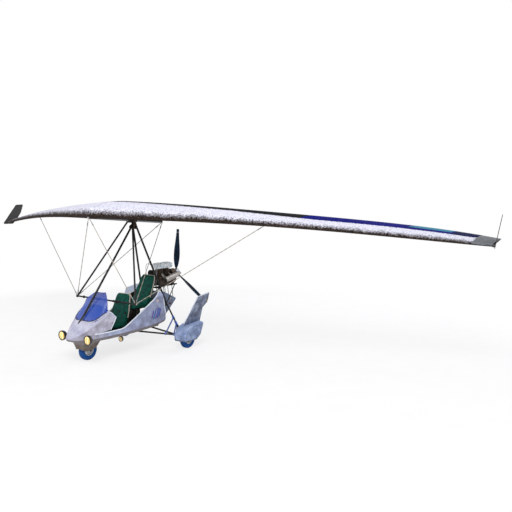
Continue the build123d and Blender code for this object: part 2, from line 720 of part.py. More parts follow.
EXHAUST_A = (205, 500, 1240)
EXHAUST_B = (205, 850, 1318)
EXHAUST_C = (205, 945, 1339)
with BuildPart() as exhaust:
    for cyl_y in CYLINDERS_Y:
        hit = (cyl_y - EXHAUST_A[1]) / (EXHAUST_B[1] - EXHAUST_A[1])
        add(rod((60, cyl_y, 1345), between(EXHAUST_A, EXHAUST_B, hit), 22))
    add(rod(EXHAUST_A, EXHAUST_B, 52))
    add(rod(EXHAUST_B, EXHAUST_C, 24))
    for cyl_y in CYLINDERS_Y:
        add(rod((0, cyl_y, 1200), (0, cyl_y, 1500), 80 + FIT_GAP), mode=Mode.SUBTRACT)
    with Locations((0, 640, CASE_LOW + 85)):
        Box(260 + 2 * FIT_GAP, 400, 170, mode=Mode.SUBTRACT)

RAIL_X = 108
with BuildPart() as engine_mount:
    for side in SIDES:
        x = side * RAIL_X
        add(rod((x, tube_end[1], ENGINE_TUBE_Z), (x, 930, ENGINE_TUBE_Z), 15 - FIT_GAP))
        add(rod((x, 880, ENGINE_TUBE_Z), (side * FOOT[0], FOOT[1], FOOT[2]), 9))
    add(rod((-RAIL_X, 900, ENGINE_TUBE_Z), (RAIL_X, 900, ENGINE_TUBE_Z), 12))
    add(rod((-tube_end[0], tube_end[1], tube_end[2]), tube_end, 16 + FIT_GAP), mode=Mode.SUBTRACT)
    for side in SIDES:
        foot = (side * FOOT[0], FOOT[1], FOOT[2])
        with Locations(foot):
            Sphere(LEG_R + FIT_GAP, mode=Mode.SUBTRACT)
        add(rod(foot, (side * HEAD[0], HEAD[1], HEAD[2]), LEG_R + FIT_GAP), mode=Mode.SUBTRACT)
        add(rod(foot, (side * 16, FOOT[1], BEAM_Z), 16 + FIT_GAP), mode=Mode.SUBTRACT)
    add(rod((-FOOT[0], FOOT[1], FOOT[2]), FOOT, 18 + FIT_GAP), mode=Mode.SUBTRACT)

# Tail tank behind the foot frame, with a filler cap and a marker lamp on its port side
TANK_HALF = 170
tank_front = FOOT[1] + 18 + FIT_GAP
TANK = ((tank_front, 505), (tank_front, 1000), (530, 1000), (872, 832), (645, 622), (515, 520))
with BuildPart() as tail_tank:
    add(side_plate(TANK, TANK_HALF, 30))
    fillet(tail_tank.faces().sort_by(Axis.X)[0].edges(), 24)
    fillet(tail_tank.faces().sort_by(Axis.X)[-1].edges(), 24)
with BuildPart() as filler_cap:
    add(rod((TANK_HALF + FIT_GAP, 668, 850), (TANK_HALF + 16, 668, 850), 30))
with BuildPart() as marker_lamp:
    add(rod((TANK_HALF + FIT_GAP, 668, 748), (TANK_HALF + 12, 668, 748), 24))

# Propeller: a clamped hub on the gearbox shaft and three twisted blades
BLADE_SECTIONS = (
    # radius, chord, thickness, pitch degrees
    (95, 48, 34, 50),
    (220, 104, 22, 38),
    (520, 112, 14, 22),
    (PROP_R, 62, 8, 13),
)
with BuildPart() as prop_hub:
    add(rod((0, 890, PROP_HUB[2]), (0, 1000, PROP_HUB[2]), SHAFT_R))
    add(rod((0, 975, PROP_HUB[2]), (0, 1000, PROP_HUB[2]), 62))
    add(rod((0, 995, PROP_HUB[2]), (0, 1085, PROP_HUB[2]), 66))
    add(rod((0, 1085, PROP_HUB[2]), (0, 1102, PROP_HUB[2]), 40))
    for i in range(3):
        turn = math.radians(PROP_PHASE + 120 * i)
        out = (math.sin(turn), 0, math.cos(turn))
        root = tuple(c + 30 * d for c, d in zip(PROP_HUB, out))
        tip = tuple(c + 120 * d for c, d in zip(PROP_HUB, out))
        add(rod(root, tip, 16 + FIT_GAP), mode=Mode.SUBTRACT)
with BuildPart() as prop_blades:
    for i in range(3):
        turn = math.radians(PROP_PHASE + 120 * i)
        out = (math.sin(turn), 0, math.cos(turn))
        side_dir = (math.cos(turn), 0, -math.sin(turn))
        with BuildPart() as blade:
            for r, chord, thick, pitch in BLADE_SECTIONS:
                a = math.radians(pitch)
                along = (side_dir[0] * math.cos(a), math.sin(a), side_dir[2] * math.cos(a))
                at = tuple(c + r * d for c, d in zip(PROP_HUB, out))
                with BuildSketch(Plane(origin=at, x_dir=along, z_dir=out)):
                    with BuildLine():
                        ThreePointArc((-chord / 2, 0), (0, thick / 2), (chord / 2, 0))
                        ThreePointArc((chord / 2, 0), (0, -thick / 2), (-chord / 2, 0))
                    make_face()
            loft()
            root = tuple(c + 32 * d for c, d in zip(PROP_HUB, out))
            neck = tuple(c + 110 * d for c, d in zip(PROP_HUB, out))
            add(rod(root, neck, 16))
        add(blade.part)

# Wing keel and the hang block that the keel rolls in
KEEL_NOSE = (0, -1196, 2520)
KEEL_TAIL = (0, 650, 2368)
keel_run = Vector(*KEEL_TAIL) - Vector(*KEEL_NOSE)
ring_part = (HANG_BOLT[1] - KEEL_NOSE[1]) / (KEEL_TAIL[1] - KEEL_NOSE[1])
RING_R = 34
half_ring = 42 / keel_run.length
ring_a = between(KEEL_NOSE, KEEL_TAIL, ring_part - half_ring)
ring_b = between(KEEL_NOSE, KEEL_TAIL, ring_part + half_ring)
ring_at = between(KEEL_NOSE, KEEL_TAIL, ring_part)
room_a = between(KEEL_NOSE, KEEL_TAIL, ring_part - 1.9 * half_ring)
room_b = between(KEEL_NOSE, KEEL_TAIL, ring_part + 1.9 * half_ring)
with BuildPart() as hang_block:
    add(rod(ring_a, ring_b, RING_R))
    with BuildSketch(Plane.YZ):
        with Locations((HANG_BOLT[1], HANG_BOLT[2])):
            Circle(22)
        with Locations((ring_at[1], ring_at[2] - 8)):
            Circle(24)
        make_hull()
    extrude(amount=24, both=True)
    add(rod(KEEL_NOSE, KEEL_TAIL, KEEL_R + RUN_GAP), mode=Mode.SUBTRACT)
    bolt_a = (-60, HANG_BOLT[1], HANG_BOLT[2])
    bolt_b = (60, HANG_BOLT[1], HANG_BOLT[2])
    add(rod(bolt_a, bolt_b, BOLT_R + RUN_GAP), mode=Mode.SUBTRACT)

with BuildPart() as wing_keel:
    add(rod(KEEL_NOSE, KEEL_TAIL, KEEL_R))
    for start, end in ((-26, -6), (6, 26)):
        move_a = (start + math.copysign(42, start)) / keel_run.length
        move_b = (end + math.copysign(42, end)) / keel_run.length
        near = between(KEEL_NOSE, KEEL_TAIL, ring_part + move_a)
        far = between(KEEL_NOSE, KEEL_TAIL, ring_part + move_b)
        add(rod(near, far, 30))

# Control frame: apex block under the keel, two uprights and the base bar
UPRIGHT_R = 16
KNOB = 0.76
CORNER = (BAR_HALF, fore(-850), 1015)
APEX_Y = -205
apex_z = between(KEEL_NOSE, KEEL_TAIL, (APEX_Y - KEEL_NOSE[1]) / (KEEL_TAIL[1] - KEEL_NOSE[1]))[2]
with BuildPart() as control_frame:
    with Locations((0, APEX_Y, apex_z - 15)):
        Box(150, 46, 60)
    for side in SIDES:
        corner = (side * CORNER[0], CORNER[1], CORNER[2])
        add(rod((side * 58, APEX_Y, apex_z - 18), corner, UPRIGHT_R))
        with Locations(corner):
            Sphere(26)
    add(rod((-CORNER[0], CORNER[1], CORNER[2]), CORNER, 15))
    with Locations((-KNOB * CORNER[0], CORNER[1], CORNER[2])):
        Sphere(26, rotation=(0, 90, 0))
    add(rod(KEEL_NOSE, KEEL_TAIL, KEEL_R + FIT_GAP), mode=Mode.SUBTRACT)

# Sail halves with the pocket that laces them to the keel, tip caps and winglets
KEEL_POCKET = ((300, 2394), (640, 2366), (720, 2460), (300, 2490))
RING_ROOM = 7
with BuildPart() as sail_left:
    loft([sail_outline(section) for section in SAIL_SECTIONS[:5]])
    with BuildSketch(Plane.YZ):
        with BuildLine():
            Polyline(*KEEL_POCKET, close=True)
        make_face()
    extrude(amount=5)
    add(rod(KEEL_NOSE, KEEL_TAIL, KEEL_R + FIT_GAP), mode=Mode.SUBTRACT)
    add(rod(room_a, room_b, RING_R + RING_ROOM), mode=Mode.SUBTRACT)
with BuildPart() as sail_right:
    add(mirror(sail_left.part, about=Plane.YZ))
with BuildPart() as left_tip:
    loft([sail_outline(section) for section in SAIL_SECTIONS[4:]])
with BuildPart() as wing_tips:
    add(left_tip.part)
    add(mirror(left_tip.part, about=Plane.YZ))
# The winglets toe out and lean out, so their outline is drawn on a turned plane from the lower front corner
WINGLET = ((0, 0), (388, 505), (585, 515), (470, 200), (262, 0))
WINGLET_AT = (SAIL_SECTIONS[-1][0] + 66, 1198, 2122)
tip_face = SAIL_SECTIONS[-1][0] + FIT_GAP
WINGLET_TOE = 14
WINGLET_LEAN = 10.5
WINGLET_T = 5
toe = math.radians(WINGLET_TOE)
lean = math.radians(WINGLET_LEAN)
along = (-math.sin(toe), math.cos(toe), 0)
outward = (math.cos(toe) * math.cos(lean), math.sin(toe) * math.cos(lean), -math.sin(lean))
with BuildPart() as left_winglet:
    with BuildSketch(Plane(origin=WINGLET_AT, x_dir=along, z_dir=outward)):
        with BuildLine():
            FilletPolyline(*WINGLET, radius=24, close=True)
        make_face()
    extrude(amount=WINGLET_T, both=True)
    with BuildSketch(Plane.XY.offset(2135)):
        with BuildLine():
            Polyline((tip_face, 1318), (tip_face, 1440), (tip_face + 12, 1440), (tip_face + 40, 1318), close=True)
        make_face()
    extrude(amount=34)
    with Locations((tip_face - 200, 1500, 2300)):
        Box(400, 1000, 1000, mode=Mode.SUBTRACT)
with BuildPart() as winglets:
    add(left_winglet.part)
    add(mirror(left_winglet.part, about=Plane.YZ))

# Main stays: from each control frame corner to the keel nose, the keel tail and the leading edge
STAY_R = 6
STAY_TOPS = ((16, -1176, 2500), (2960, -45, 2425), (16, 628, 2346))
with BuildPart() as main_stays:
    for side in SIDES:
        corner = (side * CORNER[0], CORNER[1], CORNER[2])
        for top_x, top_y, top_z in STAY_TOPS:
            add(rod(corner, (side * top_x, top_y, top_z), STAY_R))
    for side in SIDES:
        corner = (side * CORNER[0], CORNER[1], CORNER[2])
        with Locations(corner):
            Sphere(26 + FIT_GAP, mode=Mode.SUBTRACT)
        add(rod((side * 58, APEX_Y, apex_z - 18), corner, UPRIGHT_R + FIT_GAP), mode=Mode.SUBTRACT)
    add(rod(KEEL_NOSE, KEEL_TAIL, KEEL_R + FIT_GAP), mode=Mode.SUBTRACT)
    add(sail_left.part, mode=Mode.SUBTRACT)
    add(sail_right.part, mode=Mode.SUBTRACT)

PIECES = {
    "pod_tub": pod_tub,
    "nose_cowl": nose_cowl,
    "wheel_arch": wheel_arch,
    "windscreen": windscreen,
    "instrument_panel": instrument_panel,
    "lamp_housings": lamp_housings,
    "lamp_lenses": lamp_lenses,
    "main_beam": main_beam,
    "pylon": pylon,
    "front_strut": front_strut,
    "hang_bracket": hang_bracket,
    "main_gear": main_gear,
    "gear_brackets": gear_brackets,
    "wheel_spat_left": wheel_spat_left,
    "wheel_spat_right": wheel_spat_right,
    "front_seat": front_seat,
    "rear_seat": rear_seat,
    "seat_frame": seat_frame,
    "engine_block": engine_block,
    "engine_cover": engine_cover,
    "gearbox": gearbox,
    "carburettors": carburettors,
    "exhaust": exhaust,
    "engine_mount": engine_mount,
    "tail_tank": tail_tank,
    "filler_cap": filler_cap,
    "marker_lamp": marker_lamp,
    "nose_fork": nose_fork,
    "nose_tyre": nose_tyre,
    "nose_rim": nose_rim,
    "left_tyre": left_tyre,
    "left_rim": left_rim,
    "right_tyre": right_tyre,
    "right_rim": right_rim,
    "prop_hub": prop_hub,
    "prop_blades": prop_blades,
    "hang_block": hang_block,
    "wing_keel": wing_keel,
    "control_frame": control_frame,
    "sail_left": sail_left,
    "sail_right": sail_right,
    "wing_tips": wing_tips,
    "winglets": winglets,
    "main_stays": main_stays,
}

os.makedirs("parts", exist_ok=True)
for label, piece in PIECES.items():
    piece.part.label = label
    export_step(piece.part, f"parts/{label}.step")
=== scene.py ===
"""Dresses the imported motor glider: cloth wing, padded seats, moulded pod, engine and small fittings."""

import math

import bmesh
import bpy
from bpy.props import FloatProperty, FloatVectorProperty, IntProperty, PointerProperty
from mathutils import Matrix, Vector
from mathutils.bvhtree import BVHTree


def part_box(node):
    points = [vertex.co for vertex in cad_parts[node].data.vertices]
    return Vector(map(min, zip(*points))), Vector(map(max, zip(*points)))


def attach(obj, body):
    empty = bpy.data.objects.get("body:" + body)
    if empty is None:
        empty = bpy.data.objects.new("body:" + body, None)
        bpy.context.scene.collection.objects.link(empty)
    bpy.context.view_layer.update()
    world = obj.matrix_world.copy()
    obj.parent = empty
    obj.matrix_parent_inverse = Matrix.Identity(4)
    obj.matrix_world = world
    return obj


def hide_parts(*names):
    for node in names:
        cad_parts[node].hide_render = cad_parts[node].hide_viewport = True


bl_info = {
    "name": "Motor Glider Looks",
    "version": (1, 0, 0),
    "blender": (4, 5, 0),
    "location": "View3D > Sidebar > Glider",
    "description": "Finishes and fittings for a two-seat motor glider on its packed frame",
    "category": "Object",
}

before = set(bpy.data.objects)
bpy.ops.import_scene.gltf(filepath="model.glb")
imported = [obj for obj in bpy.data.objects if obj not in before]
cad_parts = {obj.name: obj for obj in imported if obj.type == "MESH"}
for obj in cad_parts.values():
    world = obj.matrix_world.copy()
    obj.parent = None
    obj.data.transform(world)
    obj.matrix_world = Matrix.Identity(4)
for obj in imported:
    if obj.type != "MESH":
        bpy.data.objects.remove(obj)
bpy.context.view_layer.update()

SIDES = ((1, "left"), (-1, "right"))
MM = 0.001
BLACK = "000000"
WHITE = "ffffff"


def linear(code):
    """Linear colour with alpha from an sRGB hex value such as 'c8c9dc'."""
    parts = [int(code[i : i + 2], 16) / 255 for i in (0, 2, 4)]
    return tuple(c / 12.92 if c <= 0.04045 else ((c + 0.055) / 1.055) ** 2.4 for c in parts) + (1.0,)


def between(table, at):
    """Row of a table at a place in its first column, in proportion between its neighbours."""
    for low, high in zip(table, table[1:]):
        if at <= high[0]:
            part = max(0.0, (at - low[0]) / (high[0] - low[0]))
            return [a + (b - a) * part for a, b in zip(low, high)]
    return list(table[-1])


def fill(tree, target, inputs):
    """Set a node's inputs; hex values become colours, and a node or an output is linked."""
    for key, value in inputs.items():
        if isinstance(value, bpy.types.Node):
            value = value.outputs[0]
        if isinstance(value, bpy.types.NodeSocket):
            tree.links.new(value, target.inputs[key])
        else:
            target.inputs[key].default_value = linear(value) if isinstance(value, str) else value


def node(tree, kind, inputs=None, stops=(), **settings):
    """Add a shader node with its settings and colour stops, and set or link its inputs."""
    made = tree.nodes.new("ShaderNode" + kind)
    for name, value in settings.items():
        setattr(made, name, value)
    fill(tree, made, inputs or {})
    for count, (position, colour) in enumerate(stops):
        band = made.color_ramp.elements
        stop = band[count] if count < len(band) else band.new(position)
        stop.position = position
        stop.color = linear(colour) if isinstance(colour, str) else colour
    return made


def start(name):
    """New material with an empty tree, its surface shader and its object coordinates."""
    material = bpy.data.materials.new(name)
    material.use_nodes = True
    tree = material.node_tree
    tree.nodes.clear()
    shader = node(tree, "BsdfPrincipled")
    node(tree, "OutputMaterial", {"Surface": shader})
    return material, tree, shader, node(tree, "TexCoord").outputs["Object"]


def per_metre(size_mm):
    """Texture scale for features of a real size in millimetres."""
    return 1000.0 / size_mm


def worn(name, colours, patch_mm, speck_mm, rough, bump_mm=0.3, metal=0.0, coat=0.0, under=None, toward=None):
    """Finish with broad patches of two colours, specks of a third and an uneven surface.

    under is the colour of painted shade where it faces down; toward is an axis, two places on it and the
    colour at the second.
    """
    material, tree, shader, place = start(name)
    first, second, third = colours.split()
    patch = node(tree, "TexNoise", {"Vector": place, "Scale": per_metre(patch_mm), "Detail": 6.0})
    speck = node(tree, "TexNoise", {"Vector": place, "Scale": per_metre(speck_mm), "Detail": 3.0})
    broad = node(tree, "ValToRGB", {"Fac": patch}, [(0.35, first), (0.65, second)])
    mask = node(tree, "ValToRGB", {"Fac": speck}, [(0.52, BLACK), (0.68, WHITE)])
    colour = node(tree, "MixRGB", {"Fac": mask, "Color1": broad, "Color2": third})
    if toward:
        axis, here, there, other = toward
        along = node(tree, "SeparateXYZ", {"Vector": place}).outputs[axis]
        share = node(tree, "MapRange", {"Value": along, "From Min": here, "From Max": there, "To Max": 0.85})
        colour = node(tree, "MixRGB", {"Fac": share, "Color1": colour, "Color2": other})
    # painted shade: faces that turn down take the colour under in full, and upright faces take some of it in
    # patches
    if under:
        facing = node(tree, "SeparateXYZ", {"Vector": node(tree, "NewGeometry").outputs["Normal"]})
        drift = node(tree, "Math", {0: patch, 1: 0.5, 2: facing.outputs["Z"]}, operation="MULTIPLY_ADD")
        shade_share = node(tree, "ValToRGB", {"Fac": drift}, [(0.0, WHITE), (0.35, BLACK)])
        colour = node(tree, "MixRGB", {"Fac": shade_share, "Color1": colour, "Color2": under})
    ends = {"From Min": 0.3, "From Max": 0.7, "To Min": rough, "To Max": rough + 0.18}
    gloss = node(tree, "MapRange", {"Value": patch, **ends})
    uneven = node(tree, "Bump", {"Height": speck, "Distance": bump_mm * MM, "Strength": 0.4})
    fill(tree, shader, {"Base Color": colour, "Roughness": gloss, "Normal": uneven, "Metallic": metal})
    fill(tree, shader, {"Coat Weight": coat, "Specular IOR Level": 0.5 if metal or coat else 0.25})
    return material


# Worn finishes: material name, three colours, patch and speck size in mm, roughness, further settings
WORN = {
    # gelcoat over glass fibre: pale lilac grey, chalky patches, dark pin specks, brown painted shade below
    "gelcoat": ("moulded_gelcoat_lilac", "acacc4 cccbdb 8c889c", 150, 11, 0.5, {"under": "75675f"}),
    # gelcoat on the tub: lilac blue, paler where hands and boots have rubbed it, greyer at the nose, with
    # grey painted shade below
    "tub_gelcoat": (
        "moulded_gelcoat_lilac_blue", "949fc6 b3bddc 7a83a6", 130, 11, 0.5,
        {"under": "7d7678", "toward": ("Y", -1.05, -1.42, "b6b3c4")},
    ),
    # gelcoat on the wheel fairing: lilac grey at its top, brown below as painted shade under the nose
    "fairing_gelcoat": (
        "moulded_gelcoat_road_brown", "645952 82766f 443a33", 90, 10, 0.6,
        {"toward": ("Z", 0.30, 0.42, "aba5ac")},
    ),
    # gelcoat on the rear panels: blue-grey, weathered toward white in its patches, whitened up the fins as
    # painted light, with painted shade below
    "panel_gelcoat": (
        "moulded_gelcoat_blue_grey", "8193bc a9b9da 6878a0", 120, 10, 0.5,
        {"under": "565c72", "toward": ("Z", 0.50, 0.75, "dfeaff")},
    ),
    # gelcoat on the tank: a duller blue grey, stained by fuel and hands, with painted shade below
    "tank_gelcoat": ("moulded_gelcoat_dull_blue", "77849f 96a3bd 5f6a84", 90, 10, 0.5, {"under": "4d5263"}),
    # powder-coated steel tube: near black, fine orange-peel, a soft sheen
    "powder_coat": ("powder_coat_black", "0e0e10 19191c 2a2623", 60, 4, 0.45, {"bump_mm": 0.15}),
    # painted clamps and braces: strong blue with rubbed spots
    "blue_clamps": ("painted_clamp_blue", "173f8c 1f55ad 122f68", 40, 5, 0.35, {"coat": 0.2}),
    # crackle-finish panel: matt black with a pebbled face
    "crackle_panel": ("crackle_finish_black", "17181c 24262b 0e0f12", 30, 3, 0.6, {"bump_mm": 0.5}),
    # enamelled lamp shells: gloss black with dusty patches
    "lamp_black": ("enamel_black", "101012 1c1b1c 3b342c", 50, 6, 0.25, {"coat": 0.3}),
    # sand-cast engine metal under oil: brown-black, rough, with worn bright grains
    "cast_case": ("sand_cast_oiled", "2a1f18 4a3729 6f5d50", 45, 5, 0.5, {"bump_mm": 0.8, "metal": 0.5}),
    # enamelled cooling cover: pale blue-white with grey scuffs
    "cover_enamel": ("enamel_pale_blue", "d8e4ec fbfdfe a9b7c1", 55, 12, 0.4, {"bump_mm": 1.5}),
    # stainless exhaust: bright, faintly straw-tinted by heat
    "bright_steel": (
        "stainless_heat_tinted", "9d9994 bbb7b3 776e64", 60, 4, 0.28, {"bump_mm": 0.1, "metal": 1.0},
    ),
    # anodised aluminium: satin grey with faint clouding
    "anodised": ("anodised_aluminium", "85878c a2a4a9 6d6f76", 50, 4, 0.34, {"bump_mm": 0.08, "metal": 1.0}),
    # blackened hang fittings: dark brown oxide with bright rubbed spots
    "hang_metal": (
        "blackened_oxide_brown", "2b2119 3f3226 6a5a48", 40, 4, 0.4, {"bump_mm": 0.2, "metal": 0.6},
    ),
    # moulded rubber and filter foam: matt charcoal
    "rubber_black": ("moulded_rubber_black", "1b1a1a 2a2827 121212", 30, 4, 0.75, {"bump_mm": 0.5}),
    # moulded tyre rubber dyed blue, in uneven patches
    "tyre_blue": ("tyre_rubber_blue", "0f4488 185aa3 0c3266", 50, 5, 0.7, {"bump_mm": 0.4}),
    # moulded tread blocks: navy rubber, scuffed
    "tread_navy": ("tread_rubber_navy", "0d1b3c 16294f 24427a", 30, 4, 0.7, {"bump_mm": 0.5}),
    # enamelled wheel discs: off-white with brake dust
    "rim_enamel": ("enamel_off_white", "c3c3c8 dedfe3 8b877f", 40, 5, 0.35, {"coat": 0.2}),
    # black laminate winglets: satin, with a fine weave showing as specks
    "winglet_black": ("laminate_black", "131216 1f1c1f 2e2a2b", 120, 6, 0.4, {"coat": 0.2}),
    # coated tip cloth: mid grey, with dark painted shade below
    "tip_cloth": (
        "coated_cloth_grey", "5d5f64 777a80 45464b", 90, 9, 0.7, {"bump_mm": 0.4, "under": "1f1d1d"},
    ),
    # moulded edge trim: chalk white with grey rub marks; the same white paints highlights as beads on the
    # sill, the fins' edges and the panel's arched top
    "edge_white": ("edge_trim_white", "d9e2f0 f4f8fd b4bed2", 40, 7, 0.5, {}),
    # dark brown liner sheet over the tub's inner faces, painting the cockpit's shade and dirt: matt, scuffed
    # paler by boots
    "cockpit_shade_liner": ("sprayed_liner_brown", "211914 352820 54453a", 110, 8, 0.8, {"bump_mm": 0.6}),
    # pressed seat buttons: dark moulded nylon
    "button_black": ("moulded_nylon_black", "0f1513 1a211f 0a0d0c", 15, 3, 0.5, {}),
    # moulded inspection cap: warm beige, sun-faded
    "cap_beige": ("moulded_cap_beige", "c9b3a4 dccabd a8917f", 25, 4, 0.5, {}),
    # pressed film bars, mid blue and violet
    "bar_blue": ("pressed_film_blue", "2b5ba6 3d74be 1f4484", 40, 6, 0.35, {"bump_mm": 0.05}),
    "bar_violet": ("pressed_film_violet", "4a3f9a 6553b4 352c74", 40, 6, 0.35, {"bump_mm": 0.05}),
    # printed dial face behind glass: black with fine pale specks
    "dial_face": ("printed_dial_black", "0b0c0e 15171a 8a8d90", 12, 2, 0.15, {"bump_mm": 0.02, "coat": 0.8}),
    # woven piping tape: beige-grey, mottled
    "seat_piping": ("woven_piping_beige", "8f897f b9b2a6 6c655b", 20, 3, 0.8, {"bump_mm": 0.4}),
    # polished edge of the tinted sheet: deep blue where light gathers in it
    "screen_edge": ("polished_sheet_edge_blue", "2c3f96 3f56b4 22306f", 30, 4, 0.25, {"bump_mm": 0.05}),
}
# A wave's scale of 1 gives it 20 radians in a metre
WAVE_RADIANS = 20
PROP_HEIGHT = 1.33
# Pale band round the propeller's disc: middle radius and half width
BLADE_BAND = (0.822, 0.008)


def stay_cable():
    """Stainless stay cable in a clear sheath: beige-grey with a laid twist."""
    material, tree, shader, place = start("stainless_stay_cable")
    # strands are 2 mm apart on the real cable, drawn far coarser to show: 12 mm for each radian of a wave
    twist = {"Vector": place, "Scale": per_metre(12) / WAVE_RADIANS, "Distortion": 0.5}
    lay = node(tree, "TexWave", twist, bands_direction="DIAGONAL").outputs["Fac"]
    shade = node(tree, "ValToRGB", {"Fac": lay}, [(0.2, "857d73"), (0.8, "ada497")])
    fill(tree, shader, {"Base Color": shade, "Metallic": 0.3, "Roughness": 0.5})
    return material


def tinted_screen():
    """Tinted polycarbonate sheet, thermoformed: clear blue, glossy, denser toward its base."""
    material, tree, shader, place = start("tinted_polycarbonate_blue")
    height = node(tree, "SeparateXYZ", {"Vector": place}).outputs["Z"]
    haze = node(tree, "TexNoise", {"Vector": place, "Scale": per_metre(45), "Detail": 4.0})
    climb = node(tree, "Math", {0: haze, 1: 0.12, 2: height}, operation="MULTIPLY_ADD")
    depth = node(tree, "MapRange", {"Value": climb, "From Min": 0.80, "From Max": 1.25})
    tint = node(tree, "ValToRGB", {"Fac": depth}, [(0.0, "3a56b0"), (0.45, "3153b2"), (1.0, "1c3c9e")])
    clear = node(tree, "MapRange", {"Value": depth, "To Min": 0.86, "To Max": 0.70})
    fill(tree, shader, {"Base Color": tint, "Alpha": clear, "Roughness": 0.28})
    fill(tree, shader, {"IOR": 1.58, "Specular IOR Level": 0.25})
    return material


def lamp_glass():
    """Pressed lamp glass, lit: warm yellow with broad moulded ribs, 9 mm for each radian of a wave."""
    material, tree, shader, place = start("pressed_lamp_glass")
    ripple = {"Vector": place, "Scale": per_metre(9) / WAVE_RADIANS}
    ribs = node(tree, "TexWave", ripple, bands_direction="X").outputs["Fac"]
    glow = node(tree, "ValToRGB", {"Fac": ribs}, [(0.0, "e2b04c"), (1.0, "fbe9b0")])
    fill(tree, shader, {"Base Color": glow, "Emission Color": glow})
    fill(tree, shader, {"Emission Strength": 0.3, "Roughness": 0.15})
    return material


def marker_red():
    """Moulded acrylic marker lens: dull red with fine pips."""
    material, tree, shader, place = start("acrylic_lens_red")
    pips = node(tree, "TexVoronoi", {"Vector": place, "Scale": per_metre(6)})
    shade = node(tree, "ValToRGB", {"Fac": pips.outputs["Distance"]}, [(0.0, "7d3a36"), (0.6, "4d1f1f")])
    fill(tree, shader, {"Base Color": shade, "Roughness": 0.2})
    return material


def blade_lacquer():
    """Lacquered wood blade: navy, satin, with a pale band painted near each tip."""
    material, tree, shader, place = start("lacquered_blade_navy")
    flat = node(tree, "VectorMath", {0: place, 1: (0.0, 0.0, PROP_HEIGHT)}, operation="SUBTRACT")
    disc = node(tree, "VectorMath", {0: flat, 1: (1, 0, 1)}, operation="MULTIPLY")
    reach = node(tree, "VectorMath", {0: disc}, operation="LENGTH").outputs["Value"]
    band = node(tree, "Math", {0: reach, 1: BLADE_BAND[0], 2: BLADE_BAND[1]}, operation="COMPARE")
    cloud = node(tree, "TexNoise", {"Vector": place, "Scale": per_metre(70), "Detail": 4.0})
    navy = node(tree, "ValToRGB", {"Fac": cloud}, [(0.35, "0c1c30"), (0.7, "17324f")])
    mixed = node(tree, "MixRGB", {"Fac": band, "Color1": navy, "Color2": "9aa7b4"})
    fill(tree, shader, {"Base Color": mixed, "Roughness": 0.45, "Specular IOR Level": 0.12})
    return material


def seat_vinyl():
    """Embossed vinyl: teal green, leather grain, a little shine on the crowns."""
    material, tree, shader, place = start("embossed_vinyl_teal")
    grain = node(tree, "TexVoronoi", {"Vector": place, "Scale": per_metre(5)}).outputs["Distance"]
    cloud = node(tree, "TexNoise", {"Vector": place, "Scale": per_metre(60), "Detail": 5.0})
    shade = node(tree, "ValToRGB", {"Fac": cloud}, [(0.3, "0a3a31"), (0.7, "125246")])
    emboss = node(tree, "Bump", {"Height": grain, "Distance": 0.6 * MM, "Strength": 0.35})
    fill(tree, shader, {"Base Color": shade, "Normal": emboss})
    fill(tree, shader, {"Roughness": 0.6, "Specular IOR Level": 0.08})
    return material


# Half span in metres, distance between sewn seams and their half width
HALF_SPAN = 6.2
SEAM_GAP, SEAM_HALF = 0.31, 0.004


